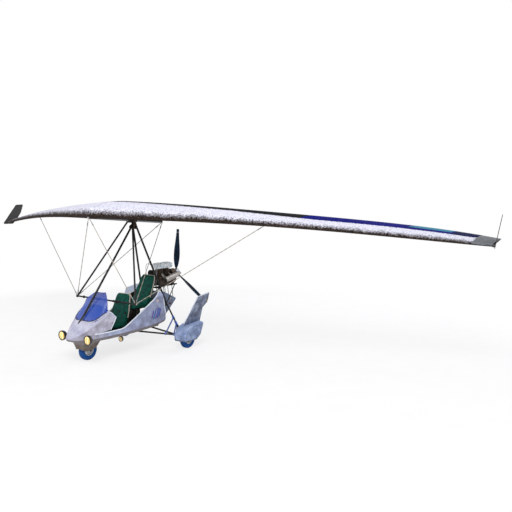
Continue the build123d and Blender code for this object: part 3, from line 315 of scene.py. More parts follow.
def sailcloth():
    """Woven polyester sailcloth: pale nose strip darkened toward its bottom by painted shade, coloured upper
    panels, dark underside.
    """
    looks = bpy.context.scene.glider_looks
    material, tree, shader, place = start("woven_sailcloth")
    fine = node(tree, "TexNoise", {"Vector": place, "Scale": per_metre(26), "Detail": 6.0})
    broad = node(tree, "TexNoise", {"Vector": place, "Scale": per_metre(190), "Detail": 5.0})
    pale = node(tree, "ValToRGB", {"Fac": fine}, [(0.34, "b5b2c8"), (0.52, tuple(looks.sail_pale))])
    # one dark colour for the underside cloth and for the painted shade low on the nose
    underside_and_shade = node(tree, "ValToRGB", {"Fac": fine}, [(0.35, tuple(looks.sail_underside_and_shade)), (0.7, "4a3d36")])
    rise = node(tree, "Attribute", attribute_name="rise").outputs["Fac"]
    rough_edge = node(tree, "Math", {0: fine, 1: 0.5, 2: rise}, operation="MULTIPLY_ADD")
    drift = node(tree, "Math", {0: broad, 1: 0.3, 2: rough_edge}, operation="MULTIPLY_ADD")
    grey = (0.30, 0.30, 0.30, 1.0)
    # painted shade: the nose is pale high up and darker toward its bottom, following the rise attribute
    pale_share = node(tree, "ValToRGB", {"Fac": drift}, [(0.66, BLACK), (0.82, grey), (1.0, WHITE)])
    nose = node(tree, "MixRGB", {"Fac": pale_share, "Color1": underside_and_shade, "Color2": pale})
    across = node(tree, "SeparateXYZ", {"Vector": place}).outputs["X"]
    span = node(tree, "Math", {0: across}, operation="ABSOLUTE")
    reach = node(tree, "Math", {0: span, 1: HALF_SPAN}, operation="DIVIDE")
    dyes = [(0.0, "0c0c10"), (0.54, tuple(looks.sail_navy)), (0.90, "0a1440")]
    panels = node(tree, "ValToRGB", {"Fac": reach}, dyes)
    panels.color_ramp.interpolation = "CONSTANT"
    inset = node(tree, "Math", {0: reach, 1: 0.845, 2: 0.05}, operation="COMPARE")
    band = node(tree, "Attribute", attribute_name="band").outputs["Fac"]
    behind = node(tree, "Math", {0: band, 1: 0.13}, operation="GREATER_THAN")
    teal_here = node(tree, "Math", {0: inset, 1: behind}, operation="MULTIPLY")
    upper = node(tree, "MixRGB", {"Fac": teal_here, "Color1": panels, "Color2": tuple(looks.sail_teal)})
    cloudy = {"Fac": 0.35, "Color1": upper, "Color2": broad.outputs["Color"]}
    mottled = node(tree, "MixRGB", cloudy, blend_type="SOFT_LIGHT")
    seam = node(tree, "Math", {0: span, 1: SEAM_GAP}, operation="PINGPONG")
    sewn = node(tree, "Math", {0: seam, 1: SEAM_HALF}, operation="LESS_THAN")
    stitched = node(tree, "MixRGB", {"Fac": sewn, "Color1": mottled, "Color2": "0a0a0c"})
    wander = node(tree, "Math", {0: fine, 1: 0.10, 2: band}, operation="MULTIPLY_ADD")
    coloured = node(tree, "ValToRGB", {"Fac": wander}, [(0.045, BLACK), (0.06, WHITE)])
    whole = node(tree, "MixRGB", {"Fac": coloured, "Color1": nose, "Color2": stitched})
    # threads are 0.4 mm apart, drawn at 6 mm to show
    weave = node(tree, "TexChecker", {"Vector": place, "Scale": per_metre(6)}).outputs["Fac"]
    uneven = node(tree, "Bump", {"Height": weave, "Distance": 0.4 * MM, "Strength": 0.25})
    fill(tree, shader, {"Base Color": whole, "Normal": uneven})
    fill(tree, shader, {"Roughness": 0.8, "Specular IOR Level": 0.03})
    return material


OWN_FINISHES = (stay_cable, tinted_screen, lamp_glass, marker_red, blade_lacquer, seat_vinyl, sailcloth)
BUILDERS = {build.__name__: build for build in OWN_FINISHES}
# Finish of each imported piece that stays
NODE_FINISHES = {
    "gelcoat": ("nose_cowl",),
    "tub_gelcoat": ("pod_tub",),
    "panel_gelcoat": ("wheel_spat_left", "wheel_spat_right"),
    "tank_gelcoat": ("tail_tank",),
    "tinted_screen": ("windscreen",),
    "crackle_panel": ("instrument_panel",),
    "lamp_black": ("lamp_housings",),
    "lamp_glass": ("lamp_lenses",),
    "powder_coat": (
        "main_beam", "pylon", "front_strut", "main_gear",
        "seat_frame", "engine_mount", "nose_fork", "control_frame",
    ),
    "anodised": ("wing_keel", "filler_cap", "prop_hub"),
    "hang_metal": ("hang_bracket", "hang_block"),
    "blue_clamps": ("gear_brackets",),
    "cast_case": ("engine_block", "gearbox"),
    "cover_enamel": ("engine_cover",),
    "rubber_black": ("carburettors",),
    "bright_steel": ("exhaust",),
    "marker_red": ("marker_lamp",),
    "tyre_blue": ("nose_tyre", "left_tyre", "right_tyre"),
    "rim_enamel": ("nose_rim", "left_rim", "right_rim"),
    "blade_lacquer": ("prop_blades",),
    "tip_cloth": ("wing_tips",),
    "winglet_black": ("winglets",),
    "stay_cable": ("main_stays",),
}


def made_once(finish):
    """The finish's material, built the first time it is asked for."""
    scene, key = bpy.context.scene, "finish_" + finish
    if key not in scene:
        if finish in BUILDERS:
            material = BUILDERS[finish]()
        else:
            *values, further = WORN[finish]
            material = worn(*values, **further)
        scene[key] = material.name
    return bpy.data.materials[scene[key]]


def link_new(name, data):
    """Object at the origin, linked to the scene."""
    made = bpy.data.objects.new(name, data)
    bpy.context.scene.collection.objects.link(made)
    return made


def mesh_from(name, bm):
    """Mesh from a bmesh, which is then freed."""
    mesh = bpy.data.meshes.new(name)
    bm.to_mesh(mesh)
    bm.free()
    return mesh


def new_piece(name, bm, finish, body="trike", smooth=True):
    """Object from a bmesh at the origin, with its finish, riding on a body."""
    bmesh.ops.recalc_face_normals(bm, faces=bm.faces)
    mesh = mesh_from(name, bm)
    piece = link_new(name, mesh)
    mesh.materials.append(made_once(finish))
    for face in mesh.polygons:
        face.use_smooth = smooth
    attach(piece, body)
    return piece


def new_bead(name, points, radius, finish):
    """Round bead or bent wire along given points, as a smooth curve on the trike."""
    curve = bpy.data.curves.new(name, "CURVE")
    curve.dimensions = "3D"
    curve.bevel_depth = radius
    curve.bevel_resolution = 3
    curve.use_fill_caps = True
    line = curve.splines.new("NURBS")
    line.points.add(len(points) - 1)
    for spot, place in zip(line.points, points):
        spot.co = (*place, 1.0)
    line.order_u = 3
    line.use_endpoint_u = True
    line.resolution_u = 6
    curve.materials.append(made_once(finish))
    bead = link_new(name, curve)
    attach(bead, "trike")


def edges_of(made):
    """Edges at the vertices that an operator has made."""
    return list({e for v in made["verts"] for e in v.link_edges})


def round_off(bm, edges, offset, segments=2):
    """Bevel some edges of a bmesh."""
    bmesh.ops.bevel(
        bm, geom=edges, offset=offset, segments=segments, profile=0.5, affect="EDGES", material=-1
    )


def turned_to(way):
    """Rotation that brings the z axis to a direction."""
    return Vector((0, 0, 1)).rotation_difference(Vector(way)).to_matrix().to_4x4()


def add_disc(bm, at, axis, radius, depth, segments=20, bevel=0.0, top=1.0):
    """Add a short round boss to a bmesh, its axis along a direction, tapering to a share of its radius."""
    ends = {"radius1": radius, "radius2": radius * top, "depth": depth}
    place = Matrix.Translation(at) @ turned_to(axis)
    made = bmesh.ops.create_cone(bm, cap_ends=True, segments=segments, matrix=place, **ends)
    if bevel:
        rims = [e for e in edges_of(made) if any(len(f.verts) > 4 for f in e.link_faces)]
        round_off(bm, rims, bevel)


def add_block(bm, at, size, bevel, turn=None):
    """Add a bevelled block to a bmesh."""
    place = Matrix.Translation(at) @ (turn or Matrix.Identity(4)) @ Matrix.Diagonal((*size, 1.0))
    round_off(bm, edges_of(bmesh.ops.create_cube(bm, size=1.0, matrix=place)), bevel)


def add_ring(bm, at, axis, radius, thick, segments=28, sides=8):
    """Add a round ring to a bmesh by spinning its small round section about the axis."""
    axis = Vector(axis).normalized()
    out = axis.orthogonal().normalized()
    turn = Matrix((out, axis, out.cross(axis))).transposed().to_4x4()
    place = Matrix.Translation(Vector(at) + out * radius) @ turn
    made = bmesh.ops.create_circle(bm, segments=sides, radius=thick, matrix=place)
    section = made["verts"] + edges_of(made)
    whole = {"angle": 2 * math.pi, "steps": segments, "use_merge": True}
    bmesh.ops.spin(bm, geom=section, cent=at, axis=axis, **whole)


def circle(count, radius, first=0.0, turned=0.0):
    """Steps sideways and up to places round a circle, begun a share of a step past its top, then turned."""
    turns = (2 * math.pi * (n + first) / count + turned for n in range(count))
    return [(radius * math.sin(turn), radius * math.cos(turn)) for turn in turns]


def cad_copy(name):
    """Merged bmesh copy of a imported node's mesh."""
    bm = bmesh.new()
    bm.from_mesh(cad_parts[name].data)
    bm.transform(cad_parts[name].matrix_world)
    bmesh.ops.remove_doubles(bm, verts=bm.verts, dist=0.00002)
    return bm


def skin_of(name):
    """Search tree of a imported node's surface."""
    bm = cad_copy(name)
    tree = BVHTree.FromBMesh(bm)
    bm.free()
    return tree


def touch(skin, start_at, direction):
    """Point and outward normal where a ray first meets a skin."""
    place, normal = skin.ray_cast(Vector(start_at), Vector(direction).normalized())[:2]
    if place is None:
        raise RuntimeError(f"nothing to sit on from {tuple(start_at)} along {tuple(direction)}")
    return place, normal


COLOUR = {"subtype": "COLOR", "size": 4}


class GliderLooks(bpy.types.PropertyGroup):
    """Sizes and colours that a user would change."""

    camera_lens: FloatProperty(
        name="Camera lens", description="Focal length for a 36 mm wide frame", default=44.44, unit="CAMERA"
    )
    camera_place: FloatVectorProperty(
        name="Camera place", description="Where it stands", default=(8.795, -8.516, 2.978), subtype="XYZ"
    )
    camera_turn: FloatVectorProperty(
        name="Camera turn", description="Tilt, roll and turn", default=(1.4688, 0.0, 0.61711), subtype="EULER"
    )
    floor_size: FloatProperty(
        name="Floor size", description="Side of the floor", default=160.0, unit="LENGTH"
    )
    floor_colour: FloatVectorProperty(
        name="Floor colour", description="Pale floor", default=linear("f4f4f6"), **COLOUR
    )
    sail_pale: FloatVectorProperty(
        name="Sail white", description="Nose strip", default=linear("e6e6f2"), **COLOUR
    )
    # dark colour of the underside cloth, also used for the painted shade low on the nose
    sail_underside_and_shade: FloatVectorProperty(
        name="Sail charcoal", description="Soiled underside", default=linear("1f1b1a"), **COLOUR
    )
    sail_navy: FloatVectorProperty(
        name="Sail navy", description="Outer upper panels", default=linear("04086c"), **COLOUR
    )
    sail_teal: FloatVectorProperty(
        name="Sail teal", description="Upper panel near the tip", default=linear("3f7f98"), **COLOUR
    )
    tread_blocks: IntProperty(name="Tread blocks", description="Blocks round each tyre", default=28, min=8)
    pad_swell: FloatProperty(
        name="Seat swell", description="Most that a seat pad may swell", default=0.014, unit="LENGTH"
    )
    pad_voxel: FloatProperty(
        name="Seat mesh size", description="Mesh size of the seat pads", default=0.008, unit="LENGTH"
    )
    bead_radius: FloatProperty(
        name="Edge bead", description="Radius of the pod's edge trim", default=0.012, unit="LENGTH"
    )


# Studio lamps: name, place, aim, size, watts
STUDIO_LAMPS = (
    ("key", (7.0, -9.0, 11.0), (0.0, 0.0, 1.4), 7.0, 1300.0),
    ("fill", (-9.0, -7.0, 6.0), (0.0, 0.0, 1.2), 8.0, 350.0),
    ("rim", (3.0, 11.0, 9.0), (0.0, 0.0, 1.6), 7.0, 500.0),
)
SENSOR_WIDTH = 36.0
CLIP_END = 400.0
# The floor fades to plain white between these distances, and is this white below the craft
FLOOR_NEAR, FLOOR_FAR, FLOOR_WHITE = 3.0, 9.0, 0.72


def seen_directly(tree):
    """Share that is 1 for the rays that show a backdrop: straight, mirrored or through glass."""
    rays = node(tree, "LightPath").outputs
    seen = node(tree, "Math", {0: rays["Is Camera Ray"], 1: rays["Is Glossy Ray"]}, operation="MAXIMUM")
    return node(tree, "Math", {0: seen, 1: rays["Is Transmission Ray"]}, operation="MAXIMUM")


class GLIDER_OT_stage(bpy.types.Operator):
    """Set the floor, lamps, world and camera"""

    bl_idname = "glider.stage"
    bl_label = "Stage"

    def execute(self, context):
        looks = context.scene.glider_looks
        context.scene.view_settings.view_transform = "Standard"
        self.floor(looks)
        self.world(context)
        for name, spot, aim, size, watts in STUDIO_LAMPS:
            data = bpy.data.lights.new(name, "AREA")
            data.size = size
            data.energy = watts
            lamp = link_new(name, data)
            lamp.location = spot
            lamp.rotation_euler = (Vector(aim) - Vector(spot)).to_track_quat("-Z", "Y").to_euler()
        data = bpy.data.cameras.new("camera")
        data.lens = looks.camera_lens
        data.sensor_width = SENSOR_WIDTH
        data.clip_end = CLIP_END
        camera = link_new("camera", data)
        camera.location = looks.camera_place
        camera.rotation_euler = looks.camera_turn
        context.scene.camera = camera
        return {"FINISHED"}

    def floor(self, looks):
        """Wide pale floor that fades to white away from the craft and keeps its shadow."""
        bm = bmesh.new()
        bmesh.ops.create_grid(bm, x_segments=1, y_segments=1, size=looks.floor_size / 2)
        mesh = mesh_from("floor", bm)
        floor = link_new("floor", mesh)
        material, tree, shader, place = start("studio_floor_matt")
        grain = node(tree, "TexNoise", {"Vector": place, "Scale": per_metre(400)})
        pale = node(tree, "ValToRGB", {"Fac": grain}, [(0.3, tuple(looks.floor_colour)), (0.7, "fafafb")])
        fill(tree, shader, {"Base Color": pale, "Roughness": 0.9})
        # beyond the craft's own shadow the floor is plain white to the eye, as a seamless backdrop is
        away = node(tree, "VectorMath", {0: place}, operation="LENGTH").outputs["Value"]
        ends = {"Value": away, "From Min": FLOOR_NEAR, "From Max": FLOOR_FAR}
        fade = node(tree, "MapRange", ends, interpolation_type="SMOOTHSTEP")
        least = node(tree, "Math", {0: fade, 1: FLOOR_WHITE}, operation="MAXIMUM")
        share = node(tree, "Math", {0: least, 1: seen_directly(tree)}, operation="MULTIPLY")
        plain = node(tree, "Emission", {"Color": WHITE, "Strength": 1.0})
        mixed = node(tree, "MixShader", {0: share, 1: shader, 2: plain})
        output = next(n for n in tree.nodes if n.type == "OUTPUT_MATERIAL")
        fill(tree, output, {"Surface": mixed})
        mesh.materials.append(material)

    def world(self, context):
        """Soft light all round, seen as plain white."""
        world = bpy.data.worlds.new("studio")
        context.scene.world = world
        world.use_nodes = True
        tree = world.node_tree
        tree.nodes.clear()
        soft = node(tree, "Background", {"Color": "f2f4f8", "Strength": 0.55})
        white = node(tree, "Background", {"Color": WHITE, "Strength": 1.0})
        mixed = node(tree, "MixShader", {0: seen_directly(tree), 1: soft, 2: white})
        node(tree, "OutputWorld", {"Surface": mixed})


class GLIDER_OT_finishes(bpy.types.Operator):
    """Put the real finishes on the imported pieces"""

    bl_idname = "glider.finishes"
    bl_label = "Finishes"

    def execute(self, context):
        for finish, names in NODE_FINISHES.items():
            material = made_once(finish)
            for name in names:
                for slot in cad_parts[name].material_slots:
                    slot.link = "OBJECT"
                    slot.material = material
        return {"FINISHED"}


# Plan of the wing: span x, leading edge y, chord
WING = (
    (0.0, -1.220, 2.050), (0.6, -1.000, 1.980), (3.0, -0.080, 1.450),
    (5.2, 0.820, 0.950), (5.93, 1.165, 0.650),
)
# Cuts that give the cloth its vertices: across the span, and along it at shares of the chord
SPAN_CUTS = [0.155 * count for count in range(1, 39)]
CHORD_CUTS = (0.004, 0.012, 0.025, 0.04, 0.06, 0.09, 0.13, 0.2, 0.3, 0.45, 0.7)
# Share of the nose's height where the coloured upper panels begin: span x, share
BAND_START = ((0.0, 0.985), (1.0, 0.965), (2.2, 0.93), (3.6, 0.81), (4.7, 0.82), (6.2, 0.80))
# Share of the chord that counts as the nose, and how far down a face looks to be underside
NOSE_SHARE = 0.06
UNDERSIDE = -0.4


class GLIDER_OT_sail(bpy.types.Operator):
    """Clothe the wing: pale nose strip with painted shade low down, coloured upper panels, dark underside"""

    bl_idname = "glider.sail"
    bl_label = "Sail"

    def execute(self, context):
        for side, word in SIDES:
            name = "sail_" + word
            bm = cad_copy(name)
            for cut in SPAN_CUTS:
                self.slice(bm, Vector((side * cut, 0, 0)), Vector((1, 0, 0)))
            for share in CHORD_CUTS:
                for low, high in zip(WING, WING[1:]):
                    near = Vector((side * low[0], low[1] + share * low[2], 0))
                    far = Vector((side * high[0], high[1] + share * high[2], 0))
                    run = far - near
                    self.slice(bm, near, Vector((run.y, -run.x, 0)).normalized())
            stations = self.stations(bm)
            bm.normal_update()
            rise = bm.verts.layers.float.new("rise")
            band = bm.verts.layers.float.new("band")
            for vert in bm.verts:
                span = abs(vert.co.x)
                crest_y, low_z, crest_z = between(stations, span)[1:]
                height = (vert.co.z - low_z) / (crest_z - low_z)
                # rise is the share of the way up the nose; the sail's finish paints shade where it is low,
                # and faces turned down take the dark underside colour in full
                vert[rise] = height + 0.008 * span
                vert[band] = height - between(BAND_START, span)[1]
                if vert.co.y > crest_y:
                    vert[band] = 0.4
                if vert.normal.z < UNDERSIDE:
                    vert[rise] = min(height, -0.2)
                    vert[band] = -1.0
            piece = new_piece("cloth_" + name, bm, "sailcloth", "wing")
            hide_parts(name)
        return {"FINISHED"}

    def slice(self, bm, at, normal):
        """Cut the mesh along a plane, keeping both sides."""
        parts = list(bm.verts) + list(bm.edges) + list(bm.faces)
        bmesh.ops.bisect_plane(bm, geom=parts, dist=0.00005, plane_co=at, plane_no=normal)

    def stations(self, bm):
        """Span, crest y, lowest nose z and crest z, measured at each cut across the span."""
        rows = []
        for cut in SPAN_CUTS:
            ring = [v.co for v in bm.verts if abs(abs(v.co.x) - cut) < 0.0005]
            if len(ring) < 8:
                continue
            lead = min(co.y for co in ring)
            tail = max(co.y for co in ring)
            front = [co.z for co in ring if co.y < lead + NOSE_SHARE * (tail - lead)]
            crest = max(ring, key=lambda co: co.z)
            rows.append((cut, crest.y, min(front), crest.z))
        return [(0.0, *rows[0][1:])] + rows


# Seat buttons on each back: x and z
SEAT_BUTTONS = {
    "front_seat": ((0.09, 0.89), (0.015, 0.756), (0.175, 0.746), (-0.09, 0.89), (-0.15, 0.75)),
    "rear_seat": ((0.10, 1.16), (0.03, 1.034), (0.19, 1.036), (-0.086, 1.326), (-0.10, 1.16), (-0.15, 1.03)),
}
# Seat edge seen from the front: half width x and height z, from the squab up to the crown
SEAT_EDGES = {
    "front_seat": ((0.223, 0.66), (0.223, 0.74), (0.213, 0.80), (0.190, 0.95), (0.172, 1.05), (0.12, 1.095)),
    "rear_seat": ((0.223, 0.95), (0.223, 1.02), (0.213, 1.08), (0.190, 1.23), (0.172, 1.33), (0.12, 1.376)),
}
# Front face of each back, seen from the side: z and y at its foot and its crown
SEAT_FACES = {
    "front_seat": ((0.572, -0.600), (1.092, -0.432)),
    "rear_seat": ((0.848, -0.018), (1.372, 0.222)),
}
# Round each button the pad is drawn in: reach and depth
DIMPLE_REACH, DIMPLE_DEPTH = 0.062, 0.013
# Cloth: pressure, frames, and the most that a face resting on the frame may move
PAD_PRESSURE, PAD_FRAMES, PAD_REST = 4.0, 20, 0.003


class GLIDER_OT_seats(bpy.types.Operator):
    """Fill the two seats as sewn pads, with buttons and piping"""

    bl_idname = "glider.seats"
    bl_label = "Seats"

    def execute(self, context):
        looks = context.scene.glider_looks
        for name, buttons in SEAT_BUTTONS.items():
            pad = self.pad(context, looks, name)
            studs = bmesh.new()
            skin = BVHTree.FromObject(pad, context.evaluated_depsgraph_get())
            for x, z in buttons:
                spot, normal = touch(skin, (x, -3.0, z), (0, 1, 0))
                self.dimple(pad.data, spot, normal)
                add_disc(studs, spot - normal * 0.006, normal, 0.023, 0.014, bevel=0.003, top=0.85)
            new_piece("buttons_" + name, studs, "button_black")
            pad.data.update()
            self.piping(context, name, pad)
        return {"FINISHED"}

    def pad(self, context, looks, name):
        """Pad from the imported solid: remeshed, taken in, swollen as cloth and capped."""
        pad = link_new("pad_" + name, mesh_from("pad_" + name, cad_copy(name)))
        remesh = pad.modifiers.new("remesh", "REMESH")
        remesh.mode = "VOXEL"
        remesh.voxel_size = looks.pad_voxel
        rounded = pad.modifiers.new("rounded", "SMOOTH")
        rounded.factor = 0.5
        rounded.iterations = 18
        self.settle(context, pad)
        body = pad.data
        normals = [v.normal.copy() for v in body.vertices]
        for vert, normal in zip(body.vertices, normals):
            vert.co -= normal * 0.6 * looks.pad_swell
        begin = [v.co.copy() for v in body.vertices]
        cloth = pad.modifiers.new("cloth", "CLOTH")
        cloth.settings.quality = 4
        cloth.settings.use_pressure = True
        cloth.settings.uniform_pressure_force = PAD_PRESSURE
        cloth.settings.effector_weights.gravity = 0.0
        for count in range(1, PAD_FRAMES + 1):
            context.scene.frame_set(count)
        self.settle(context, pad)
        context.scene.frame_set(1)
        body = pad.data
        for vert, old, normal in zip(body.vertices, begin, normals):
            rests = normal.z < -0.6 or normal.y > 0.75
            limit = PAD_REST if rests else looks.pad_swell
            move = vert.co - old
            if move.length > limit:
                vert.co = old + move * (limit / move.length)
        for face in body.polygons:
            face.use_smooth = True
        body.materials.clear()
        body.materials.append(made_once("seat_vinyl"))
        soften = pad.modifiers.new("soften", "SUBSURF")
        soften.levels = 1
        soften.render_levels = 1
        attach(pad, "trike")
        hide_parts(name)
        return pad

    def settle(self, context, pad):
        """Apply the pad's modifiers to its mesh."""
        graph = context.evaluated_depsgraph_get()
        made = bpy.data.meshes.new_from_object(pad.evaluated_get(graph))
        pad.modifiers.clear()
        pad.data = made

    def dimple(self, mesh, spot, normal):
        """Draw the pad in round a button."""
        for vert in mesh.vertices:
            away = (vert.co - spot).length
            if away < DIMPLE_REACH:
                vert.co -= normal * DIMPLE_DEPTH * (1 - away / DIMPLE_REACH) ** 2

    def piping(self, context, name, pad):
        """Sew piping round the outer edge of the back, found from points just outside it."""
        skin = BVHTree.FromObject(pad, context.evaluated_depsgraph_get())
        half = SEAT_EDGES[name]
        foot = half[0][1]
        points = []
        for x, z in list(half) + [(-x, z) for x, z in reversed(half)]:
            y = between(SEAT_FACES[name], z)[1]
            outside = Vector((x * 1.25, y + 0.050, foot + (z - foot) * 1.10))
            points.append(skin.find_nearest(outside)[0])
        new_bead("piping_" + name, points, 0.012, "seat_piping")


# Pod side: station y and half width in metres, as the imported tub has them
POD_SIDE = (
    (-1.706, 0.028), (-1.690, 0.066), (-1.655, 0.106), (-1.590, 0.162), (-1.500, 0.226), (-1.380, 0.292),
    (-1.230, 0.342), (-1.050, 0.371), (-0.800, 0.385), (-0.450, 0.389), (-0.100, 0.383), (0.150, 0.370),
    (0.345, 0.352),
)
# Top edge of the tub: start, bend and end of its line as y and z, and the bend's tangent points
SILL_LINE = ((-1.800, 0.500), (-0.886, 0.5177), (-0.765, 0.5235), (-0.658, 0.5777), (0.262, 1.074))
# Where its bead is set on the tub: stations y, then shares of the way down to the tail's corner
SILL_STATIONS = (
    -1.36, -1.28, -1.19, -1.09, -0.99, -0.93, -0.87, -0.80, -0.73,
    -0.66, -0.50, -0.30, -0.10, 0.05, 0.15, 0.22, 0.250,
)
TAIL_SHARES = (0.08, 0.35, 0.65, 0.97)
TAIL_CORNER = (0.345, 0.620)
# Pointed rear lip of the cowl: y and z from the tub up to the screen
COWL_LIP = ((-1.062, 0.551), (-0.985, 0.674), (-0.942, 0.755), (-1.020, 0.832), (-1.062, 0.875))
# Free edge of the screen, from its port foot up to the middle of its top: x, y and z
SCREEN_EDGE = (
    (0.330, -1.097, 0.854), (0.302, -1.072, 0.952), (0.274, -1.048, 1.048), (0.198, -0.994, 1.112),
    (0.136, -0.950, 1.164), (0.080, -0.958, 1.168), (0.0, -0.966, 1.163),
)
# Upright line inside the screen that its foot is looked for from, and the heights searched
SCREEN_MIDDLE = Vector((0.0, -1.08, 0.0))
FOOT_LOW, FOOT_HIGH, FOOT_STEP = 0.62, 0.95, 0.003
# Flange at the screen's foot: rows, their distance, and how often its line is evened
FLANGE_ROWS, FLANGE_DROP, FLANGE_EVENED = 6, 0.014, 6
# Pale bead along the instrument panel's arched top, painting a highlight line seen through the screen: half
# width, rise, y and z of its middle
BROW_HALF, BROW_RISE, BROW_Y, BROW_Z = 0.27, 0.118, -1.078, 0.84
# Film thickness on the flank, wall of the fairing, and half the thickness of the dark liner sheet that paints
# the cockpit's shade and dirt
FILM, FAIRING_WALL, LINER_HALF = 0.0005, 0.006, 0.0006
# Inspection caps on the flanks: y and z; grommet under the nose: where it is felt for from, and which way
CAP_Y, CAP_Z = 0.112, 0.899
GROMMET_FROM, GROMMET_WAY = (0, -1.738, 0.330), (0, 0.5, 0.866)
# Slanted bars on the pod's flank: y of the foot, z of the foot, length, width, finish
FLANK_BARS = (
    (-0.060, 0.590, 0.150, 0.030, "bar_violet"),
    (-0.010, 0.565, 0.205, 0.034, "bar_blue"),
    (0.045, 0.560, 0.225, 0.030, "bar_violet"),
    (0.095, 0.575, 0.200, 0.034, "bar_blue"),
    (0.145, 0.600, 0.145, 0.028, "bar_violet"),
)
BAR_LEAN = math.radians(24)
# Nose wheel fairing: half width, where its plan starts to round, how far it rounds forward, top z, rows
FAIRING_HALF, FAIRING_TURN, FAIRING_NOSE, FAIRING_TOP, FAIRING_ROWS = 0.150, -1.366, 0.178, 0.43, 8
# Lower edge of the fairing: y and z
FAIRING_EDGE = (
    (-1.544, 0.236), (-1.485, 0.208), (-1.400, 0.194), (-1.300, 0.194), (-1.200, 0.230), (-1.120, 0.310),
    (-1.060, 0.385),
)
# Stations y along its straight sides, how far its top flares and how far its lower edge tucks in
FAIRING_SIDE = (-1.31, -1.25, -1.20, -1.15, -1.10, -1.06)
FAIRING_FLARE, FAIRING_TUCK = 0.42, 0.12


